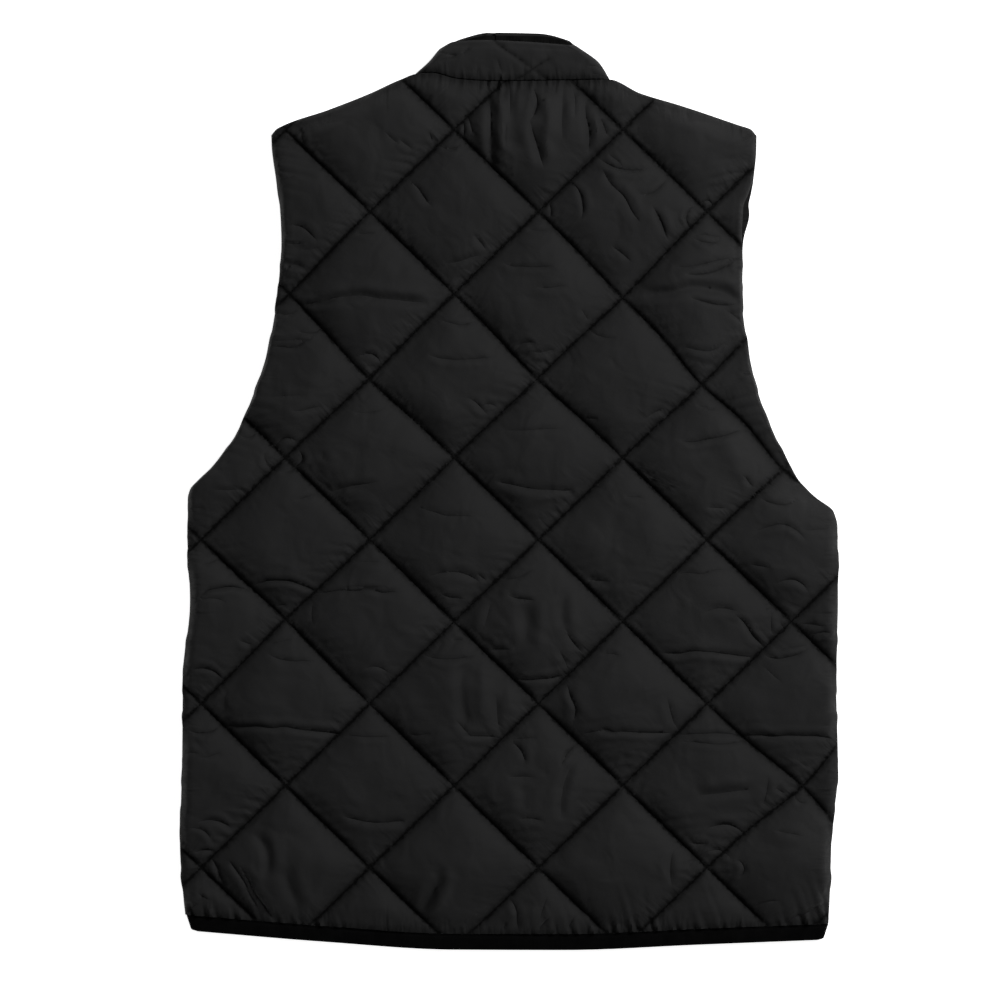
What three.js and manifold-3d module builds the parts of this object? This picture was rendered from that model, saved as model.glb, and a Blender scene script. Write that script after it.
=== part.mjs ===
// A quilted vest laid flat on its front: the back is uppermost and the neck points along +Y.
// Millimetres, +Z up. The surface that it lies on is z = 0, below the middle of the vest.
import * as THREE from "three";
import { mergeVertices } from "three/addons/utils/BufferGeometryUtils.js";
import Module from "manifold-3d";

const wasm = await Module();
wasm.setup();

// Seams and layers
const SEAM_GAP = 0.4;            // clear space between two pieces at a seam
const NECK_GAP = 0.7;            // the same along the curved neck seam
const LAYER_GAP = 0.6;           // clear space between the fronts and the back that lies on them
const CENTRE_FRONT = 3;          // x of the centre front

// Padding of the body panels
const FRONT_PAD = 13;            // height of the fronts under the back
const FRONT_PAD_HEM = 4.5;       // the same at the hem
const FRONT_PAD_NECK = 8;        // the same at the shoulder and neck seams
const FRONT_PAD_ARMHOLE = 4.5;   // the same at the free armhole edges
const BACK_SEAM = 4.6;           // thickness of the back where it is stitched down
const BACK_PUFF = 10;            // rise of each quilted diamond over its stitching
const BACK_EDGE = 1;             // thickness of the back at its side seam and armhole
const SIDE_ROLL = 15;            // how far the padding rolls round at the sides
const ARMHOLE_ROLL = 5;          // how far it rolls off at the armholes and shoulders
const HEM_FADE = 60;             // distance over which the padding dies out towards the hem
const NECK_FADE = 45;            // the same towards the shoulders and the neck

// Quilting: diamonds, twice these half pitches from point to point
const QUILT_HALF_WIDTH = 68.6;
const QUILT_HALF_HEIGHT = 66.7;
const QUILT_X = -44.8;           // a crossing of two stitch lines near the neck
const QUILT_Y = 293.9;
const STITCH_PULL = 5.5;         // grid points this near a stitch line are drawn onto it

// Where the hand-guided stitching strays from an even lattice
const quiltStrays = [
  { x: 223, y: 18, dx: -6.7, dy: -9.3 },
  { x: 157, y: 87, dx: -4.4, dy: -7.2 },
  { x: 239, y: -240, dx: 8.8, dy: -0.6 },
  { x: -179, y: 160, dx: 2.9, dy: 0 },
  { x: 92, y: 157, dx: 0, dy: -3.4 },
  { x: -113, y: 91, dx: -0.9, dy: -2.7 },
  { x: 23, y: 91, dx: -1, dy: -2.7 },
  { x: -183, y: -104, dx: 0, dy: 2 },
];
const STRAY_REACH = 45;

// Outline of the body: one row for each section across it, from the hem up
const bodySections = [
  { y: -352, left: -263, right: 260.5 },
  { y: -334, left: -265.2, right: 261.4 },
  { y: -286, left: -267.9, right: 262.6 },
  { y: -225, left: -266.2, right: 267.9 },
  { y: -151, left: -265.4, right: 266.4 },
  { y: -90, left: -259.7, right: 267.9 },
  { y: -29, left: -262.2, right: 267.9 },
  { y: -17, left: -261.6, right: 264.6 },
  { y: -5, left: -261.2, right: 249.4 },
  { y: 1, left: -259.6, right: 243 },
  { y: 8, left: -254, right: 236.6 },
  { y: 20, left: -241.6, right: 229.6 },
  { y: 44, left: -223.9, right: 217.4 },
  { y: 81, left: -207.6, right: 203 },
  { y: 117, left: -196.2, right: 195 },
  { y: 154, left: -189.7, right: 190.5 },
  { y: 203, left: -185.6, right: 190.5 },
  { y: 231, left: -186.8, right: 191.4 },
  { y: 243, left: -188.7, right: 196.4 },
  { y: 252, left: -189.7, right: 199 },
  { y: 283, left: -193.6, right: 201.9 },
  { y: 293, left: -193.8, right: 201.9 },
];

// Where the right front looks out past the armhole edge of the back
const FRONT_PEEK = 5;
const FRONT_PEEK_Y = 225;
const FRONT_PEEK_REACH = 15;
const FRONT_PEEK_DEPTH = 14;

// Top of the body from shoulder to shoulder, with the neck seam between x = -76 and 82
const topLine = [
  { x: -193.8, y: 290 },
  { x: -189, y: 295.5 },
  { x: -146, y: 311 },
  { x: -113, y: 324 },
  { x: -89, y: 335 },
  { x: -76, y: 339.5 },
  { x: -64, y: 340.5 },
  { x: -41, y: 335.4 },
  { x: -13, y: 333.7 },
  { x: 46, y: 334.4 },
  { x: 82, y: 335 },
  { x: 107, y: 324 },
  { x: 139, y: 314.3 },
  { x: 188, y: 298 },
  { x: 197, y: 295 },
  { x: 201.9, y: 289.5 },
];

// Seam between the body and the hem binding
const hemLine = [
  { x: -263, y: -345.2 },
  { x: -152, y: -354.2 },
  { x: -46, y: -360.6 },
  { x: 47, y: -360.9 },
  { x: 156, y: -356.6 },
  { x: 260.5, y: -352.5 },
];
const HEM_BINDING_HEIGHT = 12.8;

// Stand collar, laid flat with its front half under its back half
const collarFolds = [
  { v: 0, left: -76, right: 82 },
  { v: 0.5, left: -65, right: 73.4 },
  { v: 1, left: -57, right: 55.4 },
];
const collarBackEdge = [
  { s: 0, y: 360 },
  { s: 0.115, y: 366 },
  { s: 0.32, y: 367.2 },
  { s: 0.6, y: 366 },
  { s: 0.78, y: 364.6 },
  { s: 1, y: 362.5 },
];
const collarFrontEdge = [
  { s: 0, y: 360 },
  { s: 0.17, y: 368.8 },
  { s: 0.37, y: 373.7 },
  { s: 0.72, y: 373 },
  { s: 0.94, y: 367.2 },
  { s: 1, y: 362.5 },
];
const NECK_DROP = 26;            // depth of the front neck seam below the back one
const COLLAR_SLIT = 8;           // height of the space between the two halves of the collar
const FACING = 1.2;              // thickness of the inner collar
const COLLAR_FOLD = 9;           // how far the folds at the ends of the collar roll round
const COLLAR_QUILT = 1.8;        // depth of the quilting on the collar
const COLLAR_CROSSING_X = 22;
const COLLAR_CROSSING_Y = 342.4;
const COLLAR_QUILT_SLOPE = 0.68;
const COLLAR_QUILT_REACH = 7;

// Rows across the collar from the neck seam to its free edge: padding over the slit
const collarRows = [
  { v: 0, pad: 4.4 },
  { v: 0.15, pad: 6.4 },
  { v: 0.35, pad: 7.6 },
  { v: 0.55, pad: 7.8 },
  { v: 0.75, pad: 7.2 },
  { v: 0.92, pad: 5.6 },
  { v: 1, pad: 3.8 },
];

// Rows across the hem binding from its free edge to the seam
const bindingRows = [
  { v: 1, pad: 2.4 },
  { v: 0.8, pad: 4.1 },
  { v: 0.25, pad: 4.3 },
  { v: 0, pad: 3.9 },
];
const BINDING_SLIT = 4.2;
const BINDING_FOLD = 5;

// Front closing: the left front laps over the right one, held by press studs
const LAP_HALF_WIDTH = 14;
const LAP_CLEARANCE = 0.5;
const lapSplit = [
  { y: -400, z: 2 },
  { y: -356, z: 2 },
  { y: -300, z: 6.2 },
  { y: 270, z: 6.2 },
  { y: 316, z: 3.7 },
  { y: 400, z: 3.7 },
];
const STUD_COUNT = 5;
const STUD_TOP = 268;
const STUD_PITCH = 134;
const STUD_CAP_RADIUS = 7.5;
const STUD_CAP_DEPTH = 1.3;
const STUD_BODY_RADIUS = 5;
const STUD_BODY_HALF = 1;
const STUD_CLEARANCE = 0.3;
const STUD_SIDES = 14;

const shellCloth = new THREE.MeshStandardMaterial({ color: 0x202022, roughness: 0.48 });
const facingCloth = new THREE.MeshStandardMaterial({ color: 0x121213, roughness: 0.95 });
const bindingKnit = new THREE.MeshStandardMaterial({ color: 0x09090a, roughness: 0.92 });
const studMetal = new THREE.MeshStandardMaterial({ color: 0x2c2c30, roughness: 0.35, metalness: 0.8 });

const mix = (a, b, t) => a + (b - a) * t;
const clamp01 = (t) => Math.min(1, Math.max(0, t));
const smooth = (t) => clamp01(t) ** 2 * (3 - 2 * clamp01(t));
const roll = (t) => Math.sqrt(1 - (1 - clamp01(t)) ** 2);

// A smooth curve through the rows of a table that never overshoots them
function through(rows, at, value) {
  const xs = rows.map((row) => row[at]);
  const ys = rows.map((row) => row[value]);
  const rise = xs.slice(1).map((x, i) => (ys[i + 1] - ys[i]) / (x - xs[i]));
  const slopes = xs.map((_, i) => {
    if (i === 0) return rise[0];
    if (i === xs.length - 1) return rise[i - 1];
    if (rise[i - 1] * rise[i] <= 0) return 0;
    return (2 * rise[i - 1] * rise[i]) / (rise[i - 1] + rise[i]);
  });
  return (x) => {
    const held = Math.min(xs[xs.length - 1], Math.max(xs[0], x));
    let i = 0;
    while (i < xs.length - 2 && held > xs[i + 1]) i += 1;
    const span = xs[i + 1] - xs[i];
    const t = (held - xs[i]) / span;
    const bend = t * (1 - t) * span;
    return mix(ys[i], ys[i + 1], t * t * (3 - 2 * t))
      + bend * ((1 - t) * slopes[i] - t * slopes[i + 1]);
  };
}

const bodyLeft = through(bodySections, "y", "left");
const bodyRight = through(bodySections, "y", "right");
const topY = through(topLine, "x", "y");
const hemY = through(hemLine, "x", "y");
const collarLeft = through(collarFolds, "v", "left");
const collarRight = through(collarFolds, "v", "right");
const collarBackTop = through(collarBackEdge, "s", "y");
const collarFrontTop = through(collarFrontEdge, "s", "y");
const lapHeight = through(lapSplit, "y", "z");

const HEM_LEFT = hemLine[0];
const HEM_RIGHT = hemLine[hemLine.length - 1];
const TIP_LEFT = topLine[0];
const TIP_RIGHT = topLine[topLine.length - 1];
const UNDERARM_ROW = 0.53;       // share of the way up at which the armholes begin

// Collects points and triangles, and gives them as a geometry
class Mesher {
  constructor() {
    this.points = [];
    this.triangles = [];
  }

  point(x, y, z) {
    this.points.push(x, y, z);
    return this.points.length / 3 - 1;
  }

  fan(corners) {
    for (let i = 1; i < corners.length - 1; i += 1) {
      this.triangles.push(corners[0], corners[i], corners[i + 1]);
    }
  }

  fanBelow(corners) {
    this.fan([corners[0], ...corners.slice(1).reverse()]);
  }

  geometry() {
    const geometry = new THREE.BufferGeometry();
    geometry.setAttribute("position", new THREE.Float32BufferAttribute(this.points, 3));
    geometry.setIndex(this.triangles);
    return geometry;
  }
}

// A point of the body in plan: u runs from the left side to the right, v from hem to shoulder
function bodyPoint(u, v) {
  const hem = hemY(mix(HEM_LEFT.x, HEM_RIGHT.x, u));
  const top = topY(mix(TIP_LEFT.x, TIP_RIGHT.x, u));
  const left = bodyLeft(mix(HEM_LEFT.y, TIP_LEFT.y, v));
  const right = bodyRight(mix(HEM_RIGHT.y, TIP_RIGHT.y, v));
  const x = mix(left, right, u);
  const y = mix(hem, top, v);
  const side = Math.min(u, 1 - u) * (right - left);
  return { x, y, side, hem: v * (top - hem), top: (1 - v) * (top - hem) };
}

// Position in the quilting lattice: both numbers are whole on the stitch lines
function quiltPlace(x, y) {
  let dx = 0;
  let dy = 0;
  for (const stray of quiltStrays) {
    const pull = Math.exp(-(((x - stray.x) ** 2 + (y - stray.y) ** 2) / STRAY_REACH ** 2));
    dx += stray.dx * pull;
    dy += stray.dy * pull;
  }
  const across = (x - dx - QUILT_X) / QUILT_HALF_WIDTH;
  const along = (y - dy - QUILT_Y) / QUILT_HALF_HEIGHT;
  return { rising: (across - along) / 2, falling: (across + along) / 2 };
}

const stitchSlope = 0.5 * Math.hypot(1 / QUILT_HALF_WIDTH, 1 / QUILT_HALF_HEIGHT);

// Draws a point onto the stitch lines that pass close to it
function onStitching(x, y) {
  let place = quiltPlace(x, y);
  const off = place.rising - Math.round(place.rising);
  let moved = { x, y };
  if (Math.abs(off) / stitchSlope < STITCH_PULL) {
    const step = off / (2 * stitchSlope ** 2);
    moved = { x: moved.x - step / QUILT_HALF_WIDTH, y: moved.y + step / QUILT_HALF_HEIGHT };
  }
  place = quiltPlace(moved.x, moved.y);
  const slip = place.falling - Math.round(place.falling);
  if (Math.abs(slip) / stitchSlope < STITCH_PULL) {
    const step = slip / (2 * stitchSlope ** 2);
    moved = { x: moved.x - step / QUILT_HALF_WIDTH, y: moved.y - step / QUILT_HALF_HEIGHT };
  }
  return moved;
}

// Rise of the padding between the stitch lines, from 0 on a line to 1 in mid diamond
function pillow(x, y) {
  const place = quiltPlace(x, y);
  const swell = (value) => 1 - (1 - 2 * Math.abs(value - Math.round(value))) ** 2.4;
  return swell(place.rising) * swell(place.falling);
}

// Height of the surface where the fronts and the back lie on each other
function layerHeight(u, v) {
  const at = bodyPoint(u, v);
  const hem = mix(FRONT_PAD_HEM, FRONT_PAD, smooth(at.hem / HEM_FADE));
  const neck = mix(FRONT_PAD_NECK, FRONT_PAD, smooth(at.top / NECK_FADE));
  const armhole = smooth((v - UNDERARM_ROW + 0.09) / 0.1) * (1 - smooth(at.side / 55));
  return mix(Math.min(hem, neck), FRONT_PAD_ARMHOLE, armhole);
}

// How far the padding rolls round: wide at the side folds, narrow at the armholes
function rollWidth(v) {
  return mix(SIDE_ROLL, ARMHOLE_ROLL, smooth((v - UNDERARM_ROW + 0.05) / 0.06));
}

function isNeck(x) {
  return smooth((x + 90) / 16) * smooth((96 - x) / 16);
}

// Thickness of the quilted back
function backThickness(u, v, x, y) {
  const at = bodyPoint(u, v);
  const shoulder = mix(roll(at.top / ARMHOLE_ROLL), 1, isNeck(at.x));
  const fade = smooth(at.side / 26 + 0.25) * smooth(at.hem / 26 + 0.1) * smooth(at.top / 26 + 0.15);
  const full = BACK_SEAM + BACK_PUFF * pillow(x, y) * fade;
  return BACK_EDGE + (full - BACK_EDGE) * roll(at.side / rollWidth(v)) * shoulder;
}

function evenly(from, to, count) {
  return Array.from({ length: count }, (_, i) => mix(from, to, (i + 1) / count));
}

// Lines of the body grid: close together at the edges, and at the corners under the arms
const edgeColumns = [0, 0.003, 0.0095, 0.021, 0.038];
const columns = [
  ...edgeColumns,
  ...evenly(0.038, 0.962, 36),
  ...edgeColumns.slice(0, 4).reverse().map((u) => 1 - u),
];
const rows = [
  0, 0.008, 0.022,
  ...evenly(0.022, 0.5215, 24),
  0.533, 0.5445, 0.556,
  ...evenly(0.556, 0.978, 20),
  0.993, 1,
];

// Every third grid line, and every second one near the ends
function sparse(lines) {
  const last = lines.length - 1;
  const inner = lines.map((_, i) => i).filter((i) => i % 3 === 1 && i > 5 && i < last - 5);
  return [0, 2, 4, ...inner, last - 4, last - 2, last];
}
const sparseColumns = sparse(columns);
const sparseRows = sparse(rows);

// Lays a sparse sheet whose outer cells take in every point of the full edge
function sparseSheet(mesher, at, us, vs, facesUp) {
  const lastU = us[us.length - 1];
  const firstU = us[0];
  const lastV = vs[vs.length - 1];
  const between = (from, to, dense) => {
    if (!dense) return [];
    return Array.from({ length: to - from - 1 }, (_, i) => from + 1 + i);
  };
  for (let a = 0; a < us.length - 1; a += 1) {
    for (let b = 0; b < vs.length - 1; b += 1) {
      const [u0, u1, v0, v1] = [us[a], us[a + 1], vs[b], vs[b + 1]];
      const ring = [
        [u0, v0], ...between(u0, u1, v0 === 0).map((i) => [i, v0]),
        [u1, v0], ...between(v0, v1, u1 === lastU).map((j) => [u1, j]),
        [u1, v1], ...between(u0, u1, v1 === lastV).reverse().map((i) => [i, v1]),
        [u0, v1], ...between(v0, v1, u0 === firstU).reverse().map((j) => [u0, j]),
      ];
      const inner = [u0 === firstU ? u1 : u0, v0 === 0 ? v1 : v0];
      const start = ring.findIndex(([i, j]) => i === inner[0] && j === inner[1]);
      const turned = [...ring.slice(start), ...ring.slice(0, start)].map(([i, j]) => at(i, j));
      if (facesUp) mesher.fan(turned);
      else mesher.fanBelow(turned);
    }
  }
}

function lookup(make) {
  const made = new Map();
  return (i, j) => {
    const key = `${i},${j}`;
    if (!made.has(key)) made.set(key, make(i, j));
    return made.get(key);
  };
}

// Joins the rims of an upper and a lower sheet, going round the edge of the grid
function rimWall(mesher, upper, lower, firstU, lastU, lastV) {
  const loop = [];
  for (let i = firstU; i < lastU; i += 1) loop.push([i, 0]);
  for (let j = 0; j < lastV; j += 1) loop.push([lastU, j]);
  for (let i = lastU; i > firstU; i -= 1) loop.push([i, lastV]);
  for (let j = lastV; j > 0; j -= 1) loop.push([firstU, j]);
  loop.forEach(([i, j], k) => {
    const [ni, nj] = loop[(k + 1) % loop.length];
    mesher.triangles.push(lower(i, j), lower(ni, nj), upper(ni, nj));
    mesher.triangles.push(lower(i, j), upper(ni, nj), upper(i, j));
  });
}

// The quilted back: raised diamonds outside, a plain sheet inside
function backGeometry() {
  const mesher = new Mesher();
  const lastU = columns.length - 1;
  const lastV = rows.length - 1;
  const heights = [];
  const outer = lookup((i, j) => {
    const [u, v] = [columns[i], rows[j]];
    const flat = bodyPoint(u, v);
    const inside = i > 3 && i < lastU - 3 && j > 1 && j < lastV - 1;
    const at = inside ? onStitching(flat.x, flat.y) : flat;
    const z = layerHeight(u, v) + backThickness(u, v, at.x, at.y);
    const index = mesher.point(at.x, at.y, z);
    heights[index] = backThickness(u, v, at.x, at.y);
    return index;
  });
  const inner = lookup((i, j) => {
    const at = bodyPoint(columns[i], rows[j]);
    return mesher.point(at.x, at.y, layerHeight(columns[i], rows[j]));
  });
  for (let i = 0; i < lastU; i += 1) {
    for (let j = 0; j < lastV; j += 1) {
      const quad = [outer(i, j), outer(i + 1, j), outer(i + 1, j + 1), outer(i, j + 1)];
      const falling = heights[quad[1]] + heights[quad[3]] < heights[quad[0]] + heights[quad[2]];
      mesher.fan(falling ? [quad[1], quad[2], quad[3], quad[0]] : quad);
    }
  }
  sparseSheet(mesher, inner, sparseColumns, sparseRows, false);
  rimWall(mesher, outer, inner, 0, lastU, lastV);
  return mesher.geometry();
}

// A point of the fronts in plan: as the body, but for the edge that looks out at the armhole
function frontPoint(u, v) {
  const at = bodyPoint(u, v);
  const along = Math.exp(-(((at.y - FRONT_PEEK_Y) / FRONT_PEEK_REACH) ** 2));
  const peek = u > 0.5 ? FRONT_PEEK * along * smooth(1 - at.side / FRONT_PEEK_DEPTH) : 0;
  return { ...at, x: at.x + peek };
}

// One half of the front, flat underneath, before it is cut at the neck and the lap
function frontGeometry(isLeft) {
  const mesher = new Mesher();
  const isPastMiddle = (i) => mix(HEM_LEFT.x, HEM_RIGHT.x, columns[i]) > CENTRE_FRONT;
  const middle = sparseColumns.findIndex(isPastMiddle);
  const us = isLeft ? sparseColumns.slice(0, middle + 3) : sparseColumns.slice(middle - 3);
  const firstU = us[0];
  const lastU = us[us.length - 1];
  const lastV = rows.length - 1;
  const inner = lookup((i, j) => {
    const at = frontPoint(columns[i], rows[j]);
    return mesher.point(at.x, at.y, layerHeight(columns[i], rows[j]) - LAYER_GAP);
  });
  const outer = lookup((i, j) => {
    const [u, v] = [columns[i], rows[j]];
    const at = frontPoint(u, v);
    const shoulder = mix(roll(at.top / ARMHOLE_ROLL), 1, isNeck(at.x));
    const lift = 1 - roll(at.side / rollWidth(v)) * shoulder;
    const depth = layerHeight(u, v) - LAYER_GAP;
    return mesher.point(at.x, at.y, Math.max(0, depth - BACK_EDGE) * lift);
  });
  const dense = columns.map((_, i) => i).filter((i) => i >= firstU && i <= lastU);
  const edge = dense.filter((i) => i <= 4 || i >= columns.length - 5 || us.includes(i));
  for (let j = 0; j < lastV; j += 1) {
    for (let k = 0; k < edge.length - 1; k += 1) {
      const [i, n] = [edge[k], edge[k + 1]];
      const low = j === 0 ? dense.filter((d) => d > i && d < n) : [];
      const high = j === lastV - 1 ? dense.filter((d) => d > i && d < n).reverse() : [];
      const ring = [
        outer(i, j), ...low.map((d) => outer(d, 0)),
        outer(n, j), outer(n, j + 1), ...high.map((d) => outer(d, lastV)), outer(i, j + 1),
      ];
      const start = j === 0 ? ring.length - 1 : 0;
      mesher.fanBelow([...ring.slice(start), ...ring.slice(0, start)]);
    }
  }
  sparseSheet(mesher, inner, us, sparseRows, true);
  rimWall(mesher, inner, outer, firstU, lastU, lastV);
  return mesher.geometry();
}

// A strip that runs from the lap under the left side, over the top and back under the right side
function foldedBand({ stations, rows: across, place }) {
  const mesher = new Mesher();
  const sheet = (face) => lookup((k, r) => {
    const at = place(stations[k], across[r], face);
    return mesher.point(at.x, at.y, at.z);
  });
  const outer = sheet("outer");
  const inner = sheet("inner");
  const lastK = stations.length - 1;
  const lastR = across.length - 1;
  for (let k = 0; k < lastK; k += 1) {
    for (let r = 0; r < lastR; r += 1) {
      mesher.fan([outer(k, r), outer(k + 1, r), outer(k + 1, r + 1), outer(k, r + 1)]);
      mesher.fan([inner(k, r), inner(k, r + 1), inner(k + 1, r + 1), inner(k + 1, r)]);
    }
    mesher.fan([outer(k, 0), inner(k, 0), inner(k + 1, 0), outer(k + 1, 0)]);
    mesher.fan([outer(k, lastR), outer(k + 1, lastR), inner(k + 1, lastR), inner(k, lastR)]);
  }
  for (let r = 0; r < lastR; r += 1) {
    mesher.fan([outer(0, r), outer(0, r + 1), inner(0, r + 1), inner(0, r)]);
    mesher.fan([outer(lastK, r), inner(lastK, r), inner(lastK, r + 1), outer(lastK, r + 1)]);
  }
  return mesher.geometry();
}

// Stations along a folded strip; s is 0 at the left fold and 1 at the right one
function bandStations({ middle, half, step, under, over, edge }) {
  const lapStart = half + step;
  const lapEnd = half + 2.2 * step;
  const below = (places, lap) => places.map((s) => ({ s, layer: "under", lap }));
  const leftLap = below([middle + half, middle, middle - lapStart], "lower");
  const rightLap = below([middle + lapStart, middle, middle - half], "upper");
  const leftUnder = below(evenly(middle - lapEnd, edge, under));
  const rightUnder = below(evenly(middle + lapEnd, 1 - edge, under));
  const turns = [-60, -25, 0, 25, 60];
  return [
    ...leftLap,
    { s: middle - lapEnd, layer: "under" },
    ...leftUnder,
    ...turns.map((turn) => ({ s: 0, layer: "fold", turn, side: 1 })),
    { s: edge, layer: "over" },
    ...evenly(edge, 1 - edge, over).map((s) => ({ s, layer: "over" })),
    ...turns.map((turn) => ({ s: 1, layer: "fold", turn: -turn, side: -1 })),
    ...rightUnder.reverse(),
    { s: middle + lapEnd, layer: "under" },
    ...rightLap,
  ];
}

// Places the faces of a strip: outside at z = 0 below and at top(v) above, round the folds
function bandPoint({ station, left, right, underY, overY, top, low, high, lapZ, fold, wall, isOuter }) {
  const { s, layer, lap, turn, side } = station;
  const x = mix(left, right, s);
  if (layer === "fold") {
    const angle = THREE.MathUtils.degToRad(turn);
    const y = mix(underY, overY, (1 + Math.sin(angle)) / 2);
    if (isOuter) {
      const middle = (low.outer + top) / 2;
      return {
        x: x + side * (fold * (1 - Math.cos(angle)) + low.inset),
        y,
        z: middle + (top - middle) * Math.sin(angle),
      };
    }
    const middle = (low.inner + high.inner) / 2;
    return {
      x: x + side * (wall + low.inset + (high.inner - middle) * (1 - Math.cos(angle))),
      y,
      z: middle + (high.inner - middle) * Math.sin(angle),
    };
  }
  if (layer === "over") return { x, y: overY, z: isOuter ? top : high.inner };
  const faces = lap ? lapZ[lap] : low;
  return { x, y: underY, z: isOuter ? faces.outer : faces.inner };
}

// Plan of the collar at s along and v across: the front half lies under the back half
function collarPlan(s, v) {
  const backBase = topY(mix(collarLeft(0), collarRight(0), s)) + NECK_GAP;
  const ends = mix(topY(collarLeft(0)), topY(collarRight(0)), s) + NECK_GAP;
  const frontBase = ends - NECK_DROP * 4 * s * (1 - s);
  const under = mix(frontBase, collarFrontTop(s), v);
  const over = mix(backBase, collarBackTop(s), v);
  return { left: collarLeft(v), right: collarRight(v), under, over };
}

// The stitched cross on the back of the collar
function collarStitch(x, y) {
  const dx = x - COLLAR_CROSSING_X;
  const dy = (y - COLLAR_CROSSING_Y) / COLLAR_QUILT_SLOPE;
  const near = Math.min(Math.abs(dx + dy), Math.abs(dx - dy)) * Math.sin(Math.atan(COLLAR_QUILT_SLOPE));
  return 1 - smooth(near / COLLAR_QUILT_REACH);
}

const collarLap = { middle: 0.5, half: 0.09 };

function collarGeometry() {
  const stations = bandStations({ ...collarLap, step: 0.027, under: 4, over: 22, edge: 0.06 });
  return foldedBand({
    stations,
    rows: collarRows,
    place: (station, row, face) => {
      const plan = collarPlan(station.s, row.v);
      const flat = mix(plan.left, plan.right, station.s);
      const stitched = station.layer === "over" ? COLLAR_QUILT * collarStitch(flat, plan.over) : 0;
      return bandPoint({
        station,
        left: plan.left,
        right: plan.right,
        underY: plan.under,
        overY: plan.over,
        top: COLLAR_SLIT + 2 * SEAM_GAP + row.pad - stitched,
        low: { outer: 0, inner: COLLAR_SLIT - 2 * SEAM_GAP - FACING, inset: 0 },
        high: { inner: COLLAR_SLIT + 2 * SEAM_GAP + FACING },
        lapZ: { lower: { outer: 0, inner: 2.2 }, upper: { outer: 3.9, inner: 6 } },
        fold: COLLAR_FOLD,
        wall: 4,
        isOuter: face === "outer",
      });
    },
  });
}

function innerCollarGeometry() {
  const stations = bandStations({ ...collarLap, step: 0.02, under: 3, over: 10, edge: 0.09 });
  const across = [{ v: 0.02 }, { v: 0.35 }, { v: 0.75 }, { v: 0.92 }, { v: 0.96 }];
  return foldedBand({
    stations,
    rows: across,
    place: (station, row, face) => {
      const plan = collarPlan(station.s, row.v);
      return bandPoint({
        station,
        left: plan.left,
        right: plan.right,
        underY: plan.under,
        overY: plan.over,
        top: COLLAR_SLIT + SEAM_GAP + FACING,
        low: { outer: COLLAR_SLIT - SEAM_GAP - FACING, inner: COLLAR_SLIT - SEAM_GAP, inset: 6.4 },
        high: { inner: COLLAR_SLIT + SEAM_GAP },
        lapZ: { lower: { outer: 2.5, inner: 3.5 }, upper: { outer: 6.4, inner: 7.6 } },
        fold: 1.6,
        wall: 1,
        isOuter: face === "outer",
      });
    },
  });
}

function hemBindingGeometry() {
  const width = HEM_RIGHT.x - HEM_LEFT.x;
  const middle = (CENTRE_FRONT - HEM_LEFT.x) / width;
  const stations = bandStations({
    middle, half: LAP_HALF_WIDTH / width, step: 0.004, under: 7, over: 20, edge: 0.02,
  });
  return foldedBand({
    stations,
    rows: bindingRows,
    place: (station, row, face) => {
      const corner = 1 - roll(Math.min(station.s, 1 - station.s) * width / 14);
      const seam = hemY(mix(HEM_LEFT.x, HEM_RIGHT.x, station.s)) - SEAM_GAP;
      const y = seam - row.v * (HEM_BINDING_HEIGHT - 3 * corner);
      return bandPoint({
        station,
        left: HEM_LEFT.x + 5 * row.v ** 2,
        right: HEM_RIGHT.x - 5 * row.v ** 2,
        underY: y,
        overY: y,
        top: BINDING_SLIT + 0.3 + row.pad,
        low: { outer: 0, inner: BINDING_SLIT - 0.3, inset: 0 },
        high: { inner: BINDING_SLIT + 0.3 },
        lapZ: { lower: { outer: 0, inner: 1.7 }, upper: { outer: 2.2, inner: 3.9 } },
        fold: BINDING_FOLD,
        wall: 3,
        isOuter: face === "outer",
      });
    },
  });
}

function solidOf(geometry) {
  const mesh = new wasm.Mesh({
    numProp: 3,
    vertProperties: Float32Array.from(geometry.attributes.position.array),
    triVerts: Uint32Array.from(geometry.index.array),
  });
  mesh.merge();
  return new wasm.Manifold(mesh);
}

function geometryOf(solid) {
  const mesh = solid.getMesh();
  const geometry = new THREE.BufferGeometry();
  geometry.setAttribute("position", new THREE.BufferAttribute(mesh.vertProperties, 3));
  geometry.setIndex(Array.from(mesh.triVerts));
  return geometry;
}

function solidOfShape(geometry) {
  const bare = geometry.clone();
  bare.deleteAttribute("normal");
  bare.deleteAttribute("uv");
  return solidOf(mergeVertices(bare, 1e-4));
}

// Everything above or below the line that parts the two laps, between two values of x
function lapBlock(fromX, toX, isAbove, clearance) {
  const shape = new THREE.Shape();
  const sign = isAbove ? -1 : 1;
  const far = isAbove ? 60 : -60;
  shape.moveTo(lapSplit[0].y, far);
  for (const { y } of lapSplit) shape.lineTo(y, lapHeight(y) + sign * clearance);
  shape.lineTo(lapSplit[lapSplit.length - 1].y, far);
  const block = new THREE.ExtrudeGeometry(shape, { depth: toX - fromX, bevelEnabled: false });
  const turn = new THREE.Matrix4().makeBasis(
    new THREE.Vector3(0, 1, 0), new THREE.Vector3(0, 0, 1), new THREE.Vector3(1, 0, 0),
  );
  return solidOfShape(block.applyMatrix4(turn).translate(fromX, 0, 0));
}

// The space that the front half of the collar takes out of the fronts
function neckScoop() {
  const shape = new THREE.Shape();
  const count = 20;
  const left = collarPlan(0, 0).left;
  const right = collarPlan(0, 0).right;
  shape.moveTo(left, 420);
  for (let i = 0; i <= count; i += 1) {
    shape.lineTo(mix(left, right, i / count), collarPlan(i / count, 0).under - NECK_GAP);
  }
  shape.lineTo(right, 420);
  const block = new THREE.ExtrudeGeometry(shape, { depth: 60, bevelEnabled: false });
  return solidOfShape(block.translate(0, 0, -20));
}

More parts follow.
